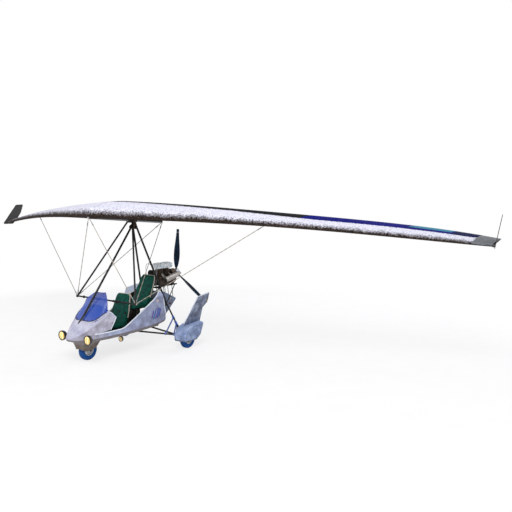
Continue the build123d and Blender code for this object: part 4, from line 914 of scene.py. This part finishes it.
class GLIDER_OT_pod_trim(bpy.types.Operator):
    """Line the tub and fit its edge trim, wheel fairing, screen flange, flank bars, caps and grommet"""

    bl_idname = "glider.pod_trim"
    bl_label = "Pod trim"

    def execute(self, context):
        radius = context.scene.glider_looks.bead_radius
        tub, cowl, screen = (skin_of(name) for name in ("pod_tub", "nose_cowl", "windscreen"))
        self.liner()
        self.fairing()
        for side, word in SIDES:
            self.sill(side, word, tub, radius)
            near = [Vector((side * between(POD_SIDE, y)[1], y, z)) for y, z in COWL_LIP]
            lip = [cowl.find_nearest(spot)[0] for spot in near]
            edge = [p for spot in lip[1:-1] for p in (spot, spot)]
            new_bead("lip_bead_" + word, [lip[0], *edge, lip[-1]], radius * 0.6, "edge_white")
            self.flank_bars(side, word, tub)
        arch = list(SCREEN_EDGE) + [(-x, y, z) for x, y, z in reversed(SCREEN_EDGE[:-1])]
        new_bead("screen_bead", arch, 0.005, "screen_edge")
        self.screen_base(cowl, screen)
        self.cap_and_grommet(tub)
        return {"FINISHED"}

    def fairing(self):
        """Rounded fairing over the nose wheel, drawn down from its plan and open below and behind."""
        bm = bmesh.new()
        row = []
        for count in range(-9, 10):
            turn = math.radians(10 * count)
            spot = (FAIRING_HALF * math.sin(turn), FAIRING_TURN - FAIRING_NOSE * math.cos(turn), 0)
            row.append(bm.verts.new(spot))
        for y in FAIRING_SIDE:
            row.insert(0, bm.verts.new((-FAIRING_HALF, y, 0)))
            row.append(bm.verts.new((FAIRING_HALF, y, 0)))
        for near, far in zip(row, row[1:]):
            bm.edges.new((near, far))
        plan = [v.co.copy() for v in row]
        rows = [row]
        for _ in range(FAIRING_ROWS):
            edges = [e for e in bm.edges if e.verts[0] in rows[-1] and e.verts[1] in rows[-1]]
            made = bmesh.ops.extrude_edge_only(bm, edges=edges)
            fresh = [v for v in made["geom"] if isinstance(v, bmesh.types.BMVert)]
            rows.append([min(fresh, key=lambda v, a=a: (v.co - a.co).length) for a in row])
        for level, line in enumerate(rows):
            drop = level / FAIRING_ROWS
            tuck = drop * drop
            flare = FAIRING_FLARE * (1 - drop) ** 2
            for vert, at in zip(line, plan):
                low = between(FAIRING_EDGE, at.y)[1]
                ahead = max(0.0, FAIRING_TURN - at.y) / FAIRING_NOSE
                vert.co = (
                    at.x * (1 + flare - FAIRING_TUCK * tuck),
                    at.y + (0.05 * tuck - 0.10 * flare) * ahead,
                    FAIRING_TOP + (low - FAIRING_TOP) * drop,
                )
        bmesh.ops.recalc_face_normals(bm, faces=bm.faces)
        bmesh.ops.solidify(bm, geom=bm.faces[:], thickness=FAIRING_WALL)
        piece = new_piece("wheel_fairing", bm, "fairing_gelcoat")
        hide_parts("wheel_arch")

    def liner(self):
        """Dark brown liner sheet on the tub's inner faces, painting the shade and dirt inside the cockpit."""
        bm = cad_copy("pod_tub")
        bm.normal_update()
        outer = []
        for face in bm.faces:
            centre = face.calc_center_median()
            aim = Vector((0, min(max(centre.y, -1.3), 0.25), 0.78)) - centre
            inward = face.normal.dot(aim.normalized()) > 0.3
            rim = abs(face.normal.x) < 0.2 and face.normal.z > 0.4 and centre.z > 0.48
            if not inward or rim:
                outer.append(face)
        bmesh.ops.delete(bm, geom=outer, context="FACES")
        for vert in bm.verts:
            vert.co += vert.normal * LINER_HALF
        bmesh.ops.solidify(bm, geom=bm.faces[:], thickness=-2 * LINER_HALF)
        new_piece("cockpit_shade_liner", bm, "cockpit_shade_liner")

    def sill(self, side, word, tub, radius):
        """White bead along the tub's top edge and down its tail: an edge trim made white and thick to paint
        the highlight along the sill.
        """
        # each place's y and z, and how far behind and below it the tub is felt for
        spots = [(y, between(SILL_LINE, y)[1], 0.0, 0.006) for y in SILL_STATIONS]
        (top_y, top_z), (end_y, end_z) = SILL_LINE[-1], TAIL_CORNER
        for part in TAIL_SHARES:
            spots.append((top_y + (end_y - top_y) * part, top_z + (end_z - top_z) * part, 0.008, 0.0))
        points = []
        for y, z, back, down in spots:
            spot = touch(tub, (side, y - back, z - down), (-side, 0, 0))[0]
            points.append((spot.x - side * 0.004, y, z))
        new_bead("sill_bead_" + word, points, radius, "edge_white")

    def flank_bars(self, side, word, tub):
        """Plain slanted bars of pressed film on the flank, in blue and violet."""
        for finish in ("bar_blue", "bar_violet"):
            bm = bmesh.new()
            for foot_y, foot_z, length, width, kind in FLANK_BARS:
                if kind != finish:
                    continue
                made = bmesh.ops.create_grid(bm, x_segments=2, y_segments=12, size=0.5)
                for vert in made["verts"]:
                    along = (vert.co.y + 0.5) * length
                    y = foot_y + along * math.sin(BAR_LEAN) + vert.co.x * width
                    z = foot_z + along * math.cos(BAR_LEAN)
                    spot, normal = touch(tub, (side, y, z), (-side, 0, 0))
                    vert.co = spot + normal * 0.0008
            bmesh.ops.recalc_face_normals(bm, faces=bm.faces)
            bmesh.ops.solidify(bm, geom=bm.faces[:], thickness=FILM)
            new_piece(f"{finish}_{word}", bm, finish)

    def screen_base(self, cowl, screen):
        """Moulded flange that evens the cowl's edge on the screen, with a rubber seal and fasteners."""
        rays, ragged = [], []
        for turn in range(-84, 85, 4):
            ray = Vector((-math.sin(math.radians(turn)), math.cos(math.radians(turn)), 0))
            height = FOOT_LOW
            while height < FOOT_HIGH:
                begin = SCREEN_MIDDLE - ray * 0.9 + Vector((0, 0, height))
                glass = screen.ray_cast(begin, ray)
                shell = cowl.ray_cast(begin, ray)
                if glass[0] is not None and (shell[0] is None or glass[3] < shell[3] - 0.002):
                    break
                height += FOOT_STEP
            rays.append(ray)
            ragged.append(height)
        last = len(ragged) - 1
        even = [max(ragged[max(0, n - 2) : n + 3]) for n in range(last + 1)]
        for _ in range(FLANGE_EVENED):
            even = [(even[max(0, n - 1)] + 2 * even[n] + even[min(n + 1, last)]) / 4 for n in range(last + 1)]
        flange = bmesh.new()
        columns = []
        for ray, top in zip(rays, even):
            column = []
            for step in range(FLANGE_ROWS):
                begin = SCREEN_MIDDLE - ray * 0.9 + Vector((0, 0, top - FLANGE_DROP * step))
                spot = screen.ray_cast(begin, ray)[0]
                if spot is None:
                    spot = column[-1].co.copy() if column else begin + ray * 0.5
                column.append(flange.verts.new(spot - ray * 0.0015))
            columns.append(column)
        for left, right in zip(columns, columns[1:]):
            for step in range(FLANGE_ROWS - 1):
                flange.faces.new((left[step], right[step], right[step + 1], left[step + 1]))
        foot = [column[0].co.copy() for column in columns]
        bmesh.ops.remove_doubles(flange, verts=flange.verts, dist=0.0002)
        bmesh.ops.solidify(flange, geom=flange.faces[:], thickness=0.0008)
        new_piece("screen_flange", flange, "gelcoat")
        new_bead("screen_seal", foot, 0.006, "rubber_black")
        studs = bmesh.new()
        for spot in foot[2:-2:4]:
            at, normal = screen.find_nearest(spot + Vector((0, 0.010, 0.024)))[:2]
            out = Vector((spot.x, spot.y + 1.12, 0.06)).normalized()
            facing = normal if normal.dot(out) > 0 else -normal
            add_disc(studs, at + facing * 0.004, facing, 0.009, 0.005, segments=14, bevel=0.0015)
        new_piece("screen_studs", studs, "lamp_black")
        # painted highlight: a pale bead along the panel's arched top
        turns = [math.radians(10 * n) for n in range(-8, 9)]
        brow = [(BROW_HALF * math.sin(turn), BROW_Y, BROW_Z + BROW_RISE * math.cos(turn)) for turn in turns]
        new_bead("panel_brow_highlight", brow, 0.010, "edge_white")

    def cap_and_grommet(self, tub):
        """Beige inspection caps on the flanks and a rubber grommet under the nose."""
        caps = bmesh.new()
        for side, _ in SIDES:
            spot, normal = touch(tub, (side, CAP_Y, CAP_Z), (-side, 0, 0))
            add_disc(caps, spot + normal * 0.003, normal, 0.022, 0.010, bevel=0.003, top=0.9)
            add_ring(caps, spot + normal * 0.002, normal, 0.025, 0.003)
        new_piece("inspection_caps", caps, "cap_beige")
        nose = bmesh.new()
        spot, normal = touch(tub, GROMMET_FROM, GROMMET_WAY)
        add_ring(nose, spot + normal * 0.001, normal, 0.010, 0.004, segments=20)
        add_disc(nose, spot, normal, 0.008, 0.004, segments=14)
        new_piece("nose_grommet", nose, "rubber_black")


# Tread: each row's x and lean, and the size of a block
TREAD_ROWS = ((-0.024, 0.35), (0.0, 0.0), (0.024, -0.35))
TREAD_BLOCK = (0.019, 0.026, 0.007)


class GLIDER_OT_wheels(bpy.types.Operator):
    """Mould tread blocks round each tyre and fit rim beads, valves and wheel bolts"""

    bl_idname = "glider.wheels"
    bl_label = "Wheels"

    def execute(self, context):
        looks = context.scene.glider_looks
        for wheel in ("nose", "left", "right"):
            low, high = (Vector(c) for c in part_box(wheel + "_tyre"))
            middle = (low + high) / 2
            self.tread(looks, wheel, middle, (high.z - low.z) / 2)
            self.hub(wheel, middle)
        return {"FINISHED"}

    def tread(self, looks, wheel, middle, radius):
        """Three rows of bevelled blocks just inside the tyre's outer radius."""
        bm = bmesh.new()
        for count in range(looks.tread_blocks):
            turn = Matrix.Rotation(2 * math.pi * count / looks.tread_blocks, 4, "X")
            for row, lean in TREAD_ROWS:
                drop = 0.0022 if row else 0.0006
                block = bmesh.ops.create_cube(bm, size=1.0)
                place = (
                    Matrix.Translation(middle)
                    @ turn
                    @ Matrix.Translation((row, 0, radius - drop - TREAD_BLOCK[2] / 2))
                    @ Matrix.Rotation(lean, 4, "Z")
                    @ Matrix.Diagonal((*TREAD_BLOCK, 1))
                )
                bmesh.ops.transform(bm, matrix=place, verts=block["verts"])
        round_off(bm, bm.edges[:], 0.0012, segments=1)
        new_piece("tread_" + wheel, bm, "tread_navy", wheel + "_wheel", smooth=False)

    def hub(self, wheel, middle):
        """Wheel bolts and a valve on both faces of the disc, and a bead round each rim lip."""
        bolts = bmesh.new()
        beads = bmesh.new()
        for side, _ in SIDES:
            for back, up in circle(6, 0.044, first=0.5):
                at = middle + Vector((side * 0.012, back, up))
                add_disc(bolts, at, (side, 0, 0), 0.006, 0.008, segments=6, bevel=0.001)
            add_ring(beads, middle + Vector((side * 0.040, 0, 0)), (1, 0, 0), 0.091, 0.004, segments=48)
            valve = middle + Vector((side * 0.020, 0, 0.076))
            add_disc(bolts, valve, (side, 0, 0), 0.004, 0.024, segments=10, bevel=0.001)
        new_piece("wheel_bolts_" + wheel, bolts, "anodised", wheel + "_wheel", smooth=False)
        new_piece("rim_beads_" + wheel, beads, "rim_enamel", wheel + "_wheel")


# Wire guard at each front corner of the engine: x, y and z from its foot to its end on the cover
GUARD_LOOP = (
    (0.108, 0.330, 1.122), (0.15, 0.333, 1.401), (0.15, 0.330, 1.487), (0.15, 0.352, 1.545),
    (0.15, 0.395, 1.556), (0.15, 0.440, 1.535), (0.090, 0.475, 1.500),
)
# Thin hangers from the engine rails to the tank: rail x and z, and each rod's y
RAIL_X, RAIL_Z = 0.10, 1.096
RAIL_RODS = (0.45, 0.56, 0.68, 0.80)
CYLINDERS_Y = (0.545, 0.725)
PLUG_LEAN = (0.5, 0, 0.86)
# Cooling cover: y of its ribs and of the lugs on its sides, and of the bolts along the case
COVER_RIBS = (0.470, 0.545, 0.600, 0.690, 0.740, 0.800)
COVER_LUGS = (0.50, 0.60, 0.68, 0.78)
CASE_BOLTS = (0.47, 0.56, 0.64, 0.72, 0.81)
FILTER_Z = 1.345
# Exhaust can: its two ends, and the end of its tail pipe
CAN_FRONT, CAN_BACK = Vector((0.205, 0.500, 1.240)), Vector((0.205, 0.850, 1.318))
TAIL_PIPE = (0.205, 0.942, 1.3383)
# Turn of the propeller, and the middle of its hub
PROP_TURN = math.radians(4.3)
PROP_HUB = Vector((0, 1.04, PROP_HEIGHT))


class GLIDER_OT_engine(bpy.types.Operator):
    """Dress the engine: cover lugs, plugs, bolts, filter pleats, exhaust bands, hangers and guard wires"""

    bl_idname = "glider.engine"
    bl_label = "Engine"

    def execute(self, context):
        self.heads()
        self.filters()
        self.silencer()
        self.gear_case()
        self.hangers()
        for side, word in SIDES:
            wire = [(side * x, y, z) for x, y, z in GUARD_LOOP]
            new_bead("guard_wire_" + word, wire, 0.005, "anodised")
        return {"FINISHED"}

    def hangers(self):
        """Thin rods from the engine rails down to the tank, where it lies below them."""
        tank = skin_of("tail_tank")
        for side, word in SIDES:
            for count, y in enumerate(RAIL_RODS):
                top = Vector((side * RAIL_X, y, RAIL_Z))
                spot = tank.ray_cast(top, Vector((0, 0.12, -1)).normalized())[0]
                if spot is not None:
                    rod = [top, top.lerp(spot, 0.5), spot]
                    new_bead(f"hanger_{word}_{count + 1}", rod, 0.006, "powder_coat")

    def heads(self):
        """Moulded lugs and ribs on the cooling cover, a plug cap on each cylinder and the case bolts."""
        cover = bmesh.new()
        for y in COVER_RIBS:
            add_block(cover, (0.0, y, 1.555), (0.150, 0.022, 0.014), 0.005)
        for side, _ in SIDES:
            for y in COVER_LUGS:
                add_disc(cover, (side * 0.092, y, 1.500), (side, 0, 0), 0.026, 0.022, bevel=0.006, top=0.8)
        new_piece("cover_lugs", cover, "cover_enamel")
        plugs = bmesh.new()
        for y in CYLINDERS_Y:
            add_disc(plugs, (0.055, y, 1.562), PLUG_LEAN, 0.014, 0.034, bevel=0.003, top=0.8)
            add_ring(plugs, (0.055, y, 1.553), PLUG_LEAN, 0.016, 0.004, segments=18)
        new_piece("plug_caps", plugs, "cover_enamel")
        bolts = bmesh.new()
        for side, _ in SIDES:
            for y in CASE_BOLTS:
                add_disc(bolts, (side * 0.131, y, 1.205), (side, 0, 0), 0.009, 0.010, segments=6, bevel=0.001)
        new_piece("case_bolts", bolts, "anodised", smooth=False)

    def filters(self):
        """Pleats and clamp bands round each intake filter."""
        pleats = bmesh.new()
        bands = bmesh.new()
        for y in CYLINDERS_Y:
            for count in range(8):
                at = (-0.158 - 0.0133 * count, y, FILTER_Z)
                add_ring(pleats, at, (1, 0, 0), 0.0555, 0.005, segments=32)
            add_ring(bands, (-0.140, y, FILTER_Z), (1, 0, 0), 0.024, 0.004, segments=24)
            add_disc(bands, (-0.262, y, FILTER_Z), (1, 0, 0), 0.040, 0.006, segments=28, bevel=0.002)
        new_piece("filter_pleats", pleats, "rubber_black")
        new_piece("filter_bands", bands, "anodised")

    def silencer(self):
        """Bands and end rolls on the exhaust."""
        run = CAN_BACK - CAN_FRONT
        bands = bmesh.new()
        for part in (0.02, 0.28, 0.72, 0.98):
            add_ring(bands, CAN_FRONT + run * part, run, 0.0515, 0.004, segments=32)
        add_ring(bands, TAIL_PIPE, run, 0.023, 0.003, segments=24)
        new_piece("exhaust_bands", bands, "bright_steel")

    def gear_case(self):
        """Bolts round the gearbox face, and bolts and collars on the propeller hub."""
        bolts = bmesh.new()
        for x, z in circle(10, 0.074):
            add_disc(bolts, (x, 0.962, PROP_HEIGHT + z), (0, 1, 0), 0.007, 0.008, segments=6, bevel=0.001)
        new_piece("gearbox_bolts", bolts, "anodised", smooth=False)
        hub = bmesh.new()
        for x, z in circle(6, 0.052, first=0.5, turned=PROP_TURN):
            add_disc(hub, (x, 1.088, PROP_HEIGHT + z), (0, 1, 0), 0.007, 0.010, segments=6, bevel=0.001)
        for x, z in circle(3, 1.0, turned=PROP_TURN):
            out = Vector((x, 0, z))
            add_ring(hub, PROP_HUB + out * 0.069, out, 0.021, 0.005, segments=24)
        new_piece("hub_bolts", hub, "anodised", "propeller", smooth=False)


# Dials on the panel's rear face: x, z, radius
DIALS = (
    (-0.15, 0.845, 0.042), (0.0, 0.862, 0.048), (0.15, 0.845, 0.042),
    (-0.08, 0.770, 0.030), (0.08, 0.770, 0.030),
)


class GLIDER_OT_panel(bpy.types.Operator):
    """Fit the dials and switches on the instrument panel"""

    bl_idname = "glider.panel"
    bl_label = "Instruments"

    def execute(self, context):
        face_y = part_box("instrument_panel")[1][1]
        faces, rims, marks = (bmesh.new() for _ in range(3))
        for x, z, radius in DIALS:
            middle = Vector((x, face_y, z))
            face = middle + Vector((0, 0.003, 0))
            add_disc(faces, face, (0, 1, 0), radius, 0.006, segments=36, bevel=0.001)
            add_ring(rims, middle + Vector((0, 0.006, 0)), (0, 1, 0), radius, 0.004, segments=40)
            for count in range(10):
                turn = math.radians(-135 + 30 * count)
                out = Vector((math.sin(turn), 0, math.cos(turn)))
                at = middle + out * radius * 0.78 + Vector((0, 0.0064, 0))
                lean = Matrix.Rotation(turn, 4, "Y")
                add_block(marks, at, (0.0024, 0.0008, 0.22 * radius), 0.0002, lean)
            needle = Matrix.Rotation(math.radians(-50), 4, "Y")
            add_block(marks, middle + Vector((0, 0.0066, 0)), (0.003, 0.001, radius * 0.9), 0.0003, needle)
        for count in range(6):
            at = Vector((-0.10 + 0.04 * count, face_y + 0.010, 0.718))
            add_disc(rims, at, (0, 1, 0.4), 0.004, 0.022, segments=12, bevel=0.001)
        new_piece("dial_faces", faces, "dial_face")
        new_piece("dial_rims", rims, "anodised")
        new_piece("dial_marks", marks, "edge_white", smooth=False)
        return {"FINISHED"}


# Ends of the stays on the port side: the base bar's corner, and the tops on the keel and the leading edge
BAR_CORNER = (0.776, -0.850, 1.015)
STAY_TOPS = ((0.016, -1.176, 2.500), (2.960, -0.045, 2.425), (0.016, 0.628, 2.346))


class GLIDER_OT_rigging(bpy.types.Operator):
    """Fit swaged sleeves and tangs on the stays and a grip on the bar"""

    bl_idname = "glider.rigging"
    bl_label = "Rigging"

    def execute(self, context):
        sleeves, tangs, grips = (bmesh.new() for _ in range(3))
        bar_x, bar_y, bar_z = BAR_CORNER
        for side, _ in SIDES:
            corner = Vector((side * bar_x, bar_y, bar_z))
            for x, y, z in STAY_TOPS:
                top = Vector((side * x, y, z))
                run = (top - corner).normalized()
                for at, way in ((corner, run), (top, -run)):
                    add_disc(sleeves, at + way * 0.105, way, 0.0095, 0.075, segments=14, bevel=0.003)
                add_block(tangs, corner + run * 0.045, (0.020, 0.005, 0.055), 0.0015, turned_to(run))
            pin = corner + Vector((side * 0.024, 0, 0))
            add_disc(tangs, pin, (1, 0, 0), 0.014, 0.014, segments=6, bevel=0.002)
            for count in range(16):
                at = (side * (0.20 + 0.012 * count), bar_y, bar_z)
                add_ring(grips, at, (1, 0, 0), 0.0155, 0.0048, segments=20)
        new_piece("stay_sleeves", sleeves, "anodised", "wing")
        new_piece("stay_tangs", tangs, "bright_steel", "wing", smooth=False)
        new_piece("bar_grips", grips, "rubber_black", "wing")
        return {"FINISHED"}


# Outline of the white bead that paints the highlight on a fin's edge, in its own plane: along y and up the
# fin from its foot
FIN_HIGHLIGHT_EDGE = ((0.275, 0.020), (0.420, 0.260), (0.575, 0.515), (0.575, 0.515), (0.740, 0.540), (0.902, 0.563))
FIN_FOOT = (0.880, 0.465)
FIN_LEAN = math.radians(11)
# Filler on the tank's port side: y, z of the cap and z of the drain below it
FILLER_Y, FILLER_Z, DRAIN_Z = 0.668, 0.850, 0.748
# Lamps under the pod: x, y, z and radius
LAMPS = ((0.340, -1.522, 0.447, 0.088), (-0.340, -1.522, 0.447, 0.088), (0.0, -0.480, 0.226, 0.052))


class GLIDER_OT_tail_trim(bpy.types.Operator):
    """Fit the white beads that paint highlights on the fin edges, the filler rings, fin lamps and lamp bezels
    """

    bl_idname = "glider.tail_trim"
    bl_label = "Tail trim"

    def execute(self, context):
        lamps, shells, rings, bezels = (bmesh.new() for _ in range(4))
        out, rise = math.sin(FIN_LEAN), math.cos(FIN_LEAN)
        for side, word in SIDES:
            edge = [(side * (FIN_FOOT[0] + up * out), y, FIN_FOOT[1] + up * rise) for y, up in FIN_HIGHLIGHT_EDGE]
            # painted highlight: a white bead up each fin's leading edge and along its top
            new_bead("fin_highlight_bead_" + word, edge, 0.0095, "edge_white")
            fin = skin_of("wheel_spat_" + word)
            spot, normal = touch(fin, (side * 1.5, 0.875, 0.860), (-side, 0, 0))
            add_disc(lamps, spot + normal * 0.009, normal, 0.013, 0.014, segments=18, bevel=0.005, top=0.8)
            add_disc(shells, spot + normal * 0.003, normal, 0.018, 0.006, segments=20, bevel=0.002)
        add_ring(rings, (0.172, FILLER_Y, FILLER_Z), (1, 0, 0), 0.036, 0.004, segments=36)
        add_ring(rings, (0.172, FILLER_Y, DRAIN_Z), (1, 0, 0), 0.028, 0.004, segments=32)
        for back, up in circle(8, 0.020):
            at = (0.186, FILLER_Y + back, FILLER_Z + up)
            add_disc(rings, at, (1, 0, 0), 0.005, 0.003, segments=10, bevel=0.001)
        for x, y, z, radius in LAMPS:
            add_ring(bezels, (x, y - 0.55 * radius, z), (0, 1, 0), 0.9 * radius, 0.06 * radius, segments=40)
        new_piece("filler_rings", rings, "anodised")
        new_piece("fin_lamps", lamps, "lamp_glass")
        new_piece("fin_lamp_seats", shells, "lamp_black")
        new_piece("lamp_bezels", bezels, "lamp_black")
        return {"FINISHED"}


class GLIDER_PT_looks(bpy.types.Panel):
    """Sidebar list of the glider's dressing steps"""

    bl_idname = "GLIDER_PT_looks"
    bl_label = "Motor Glider"
    bl_space_type = "VIEW_3D"
    bl_region_type = "UI"
    bl_category = "Glider"

    def draw(self, context):
        for step in STEPS:
            self.layout.operator(step.bl_idname)
        for name in GliderLooks.__annotations__:
            self.layout.prop(context.scene.glider_looks, name)


STEPS = (
    GLIDER_OT_stage,
    GLIDER_OT_finishes,
    GLIDER_OT_sail,
    GLIDER_OT_seats,
    GLIDER_OT_pod_trim,
    GLIDER_OT_wheels,
    GLIDER_OT_engine,
    GLIDER_OT_panel,
    GLIDER_OT_rigging,
    GLIDER_OT_tail_trim,
)
CLASSES = (GliderLooks, *STEPS, GLIDER_PT_looks)


def register():
    for cls in CLASSES:
        bpy.utils.register_class(cls)
    bpy.types.Scene.glider_looks = PointerProperty(type=GliderLooks)


def unregister():
    del bpy.types.Scene.glider_looks
    for cls in reversed(CLASSES):
        bpy.utils.unregister_class(cls)


def main():
    register()
    bpy.ops.glider.stage()
    bpy.ops.glider.finishes()
    bpy.ops.glider.sail()
    bpy.ops.glider.seats()
    bpy.ops.glider.pod_trim()
    bpy.ops.glider.wheels()
    bpy.ops.glider.engine()
    bpy.ops.glider.panel()
    bpy.ops.glider.rigging()
    bpy.ops.glider.tail_trim()


if __name__ == "__main__":
    main()
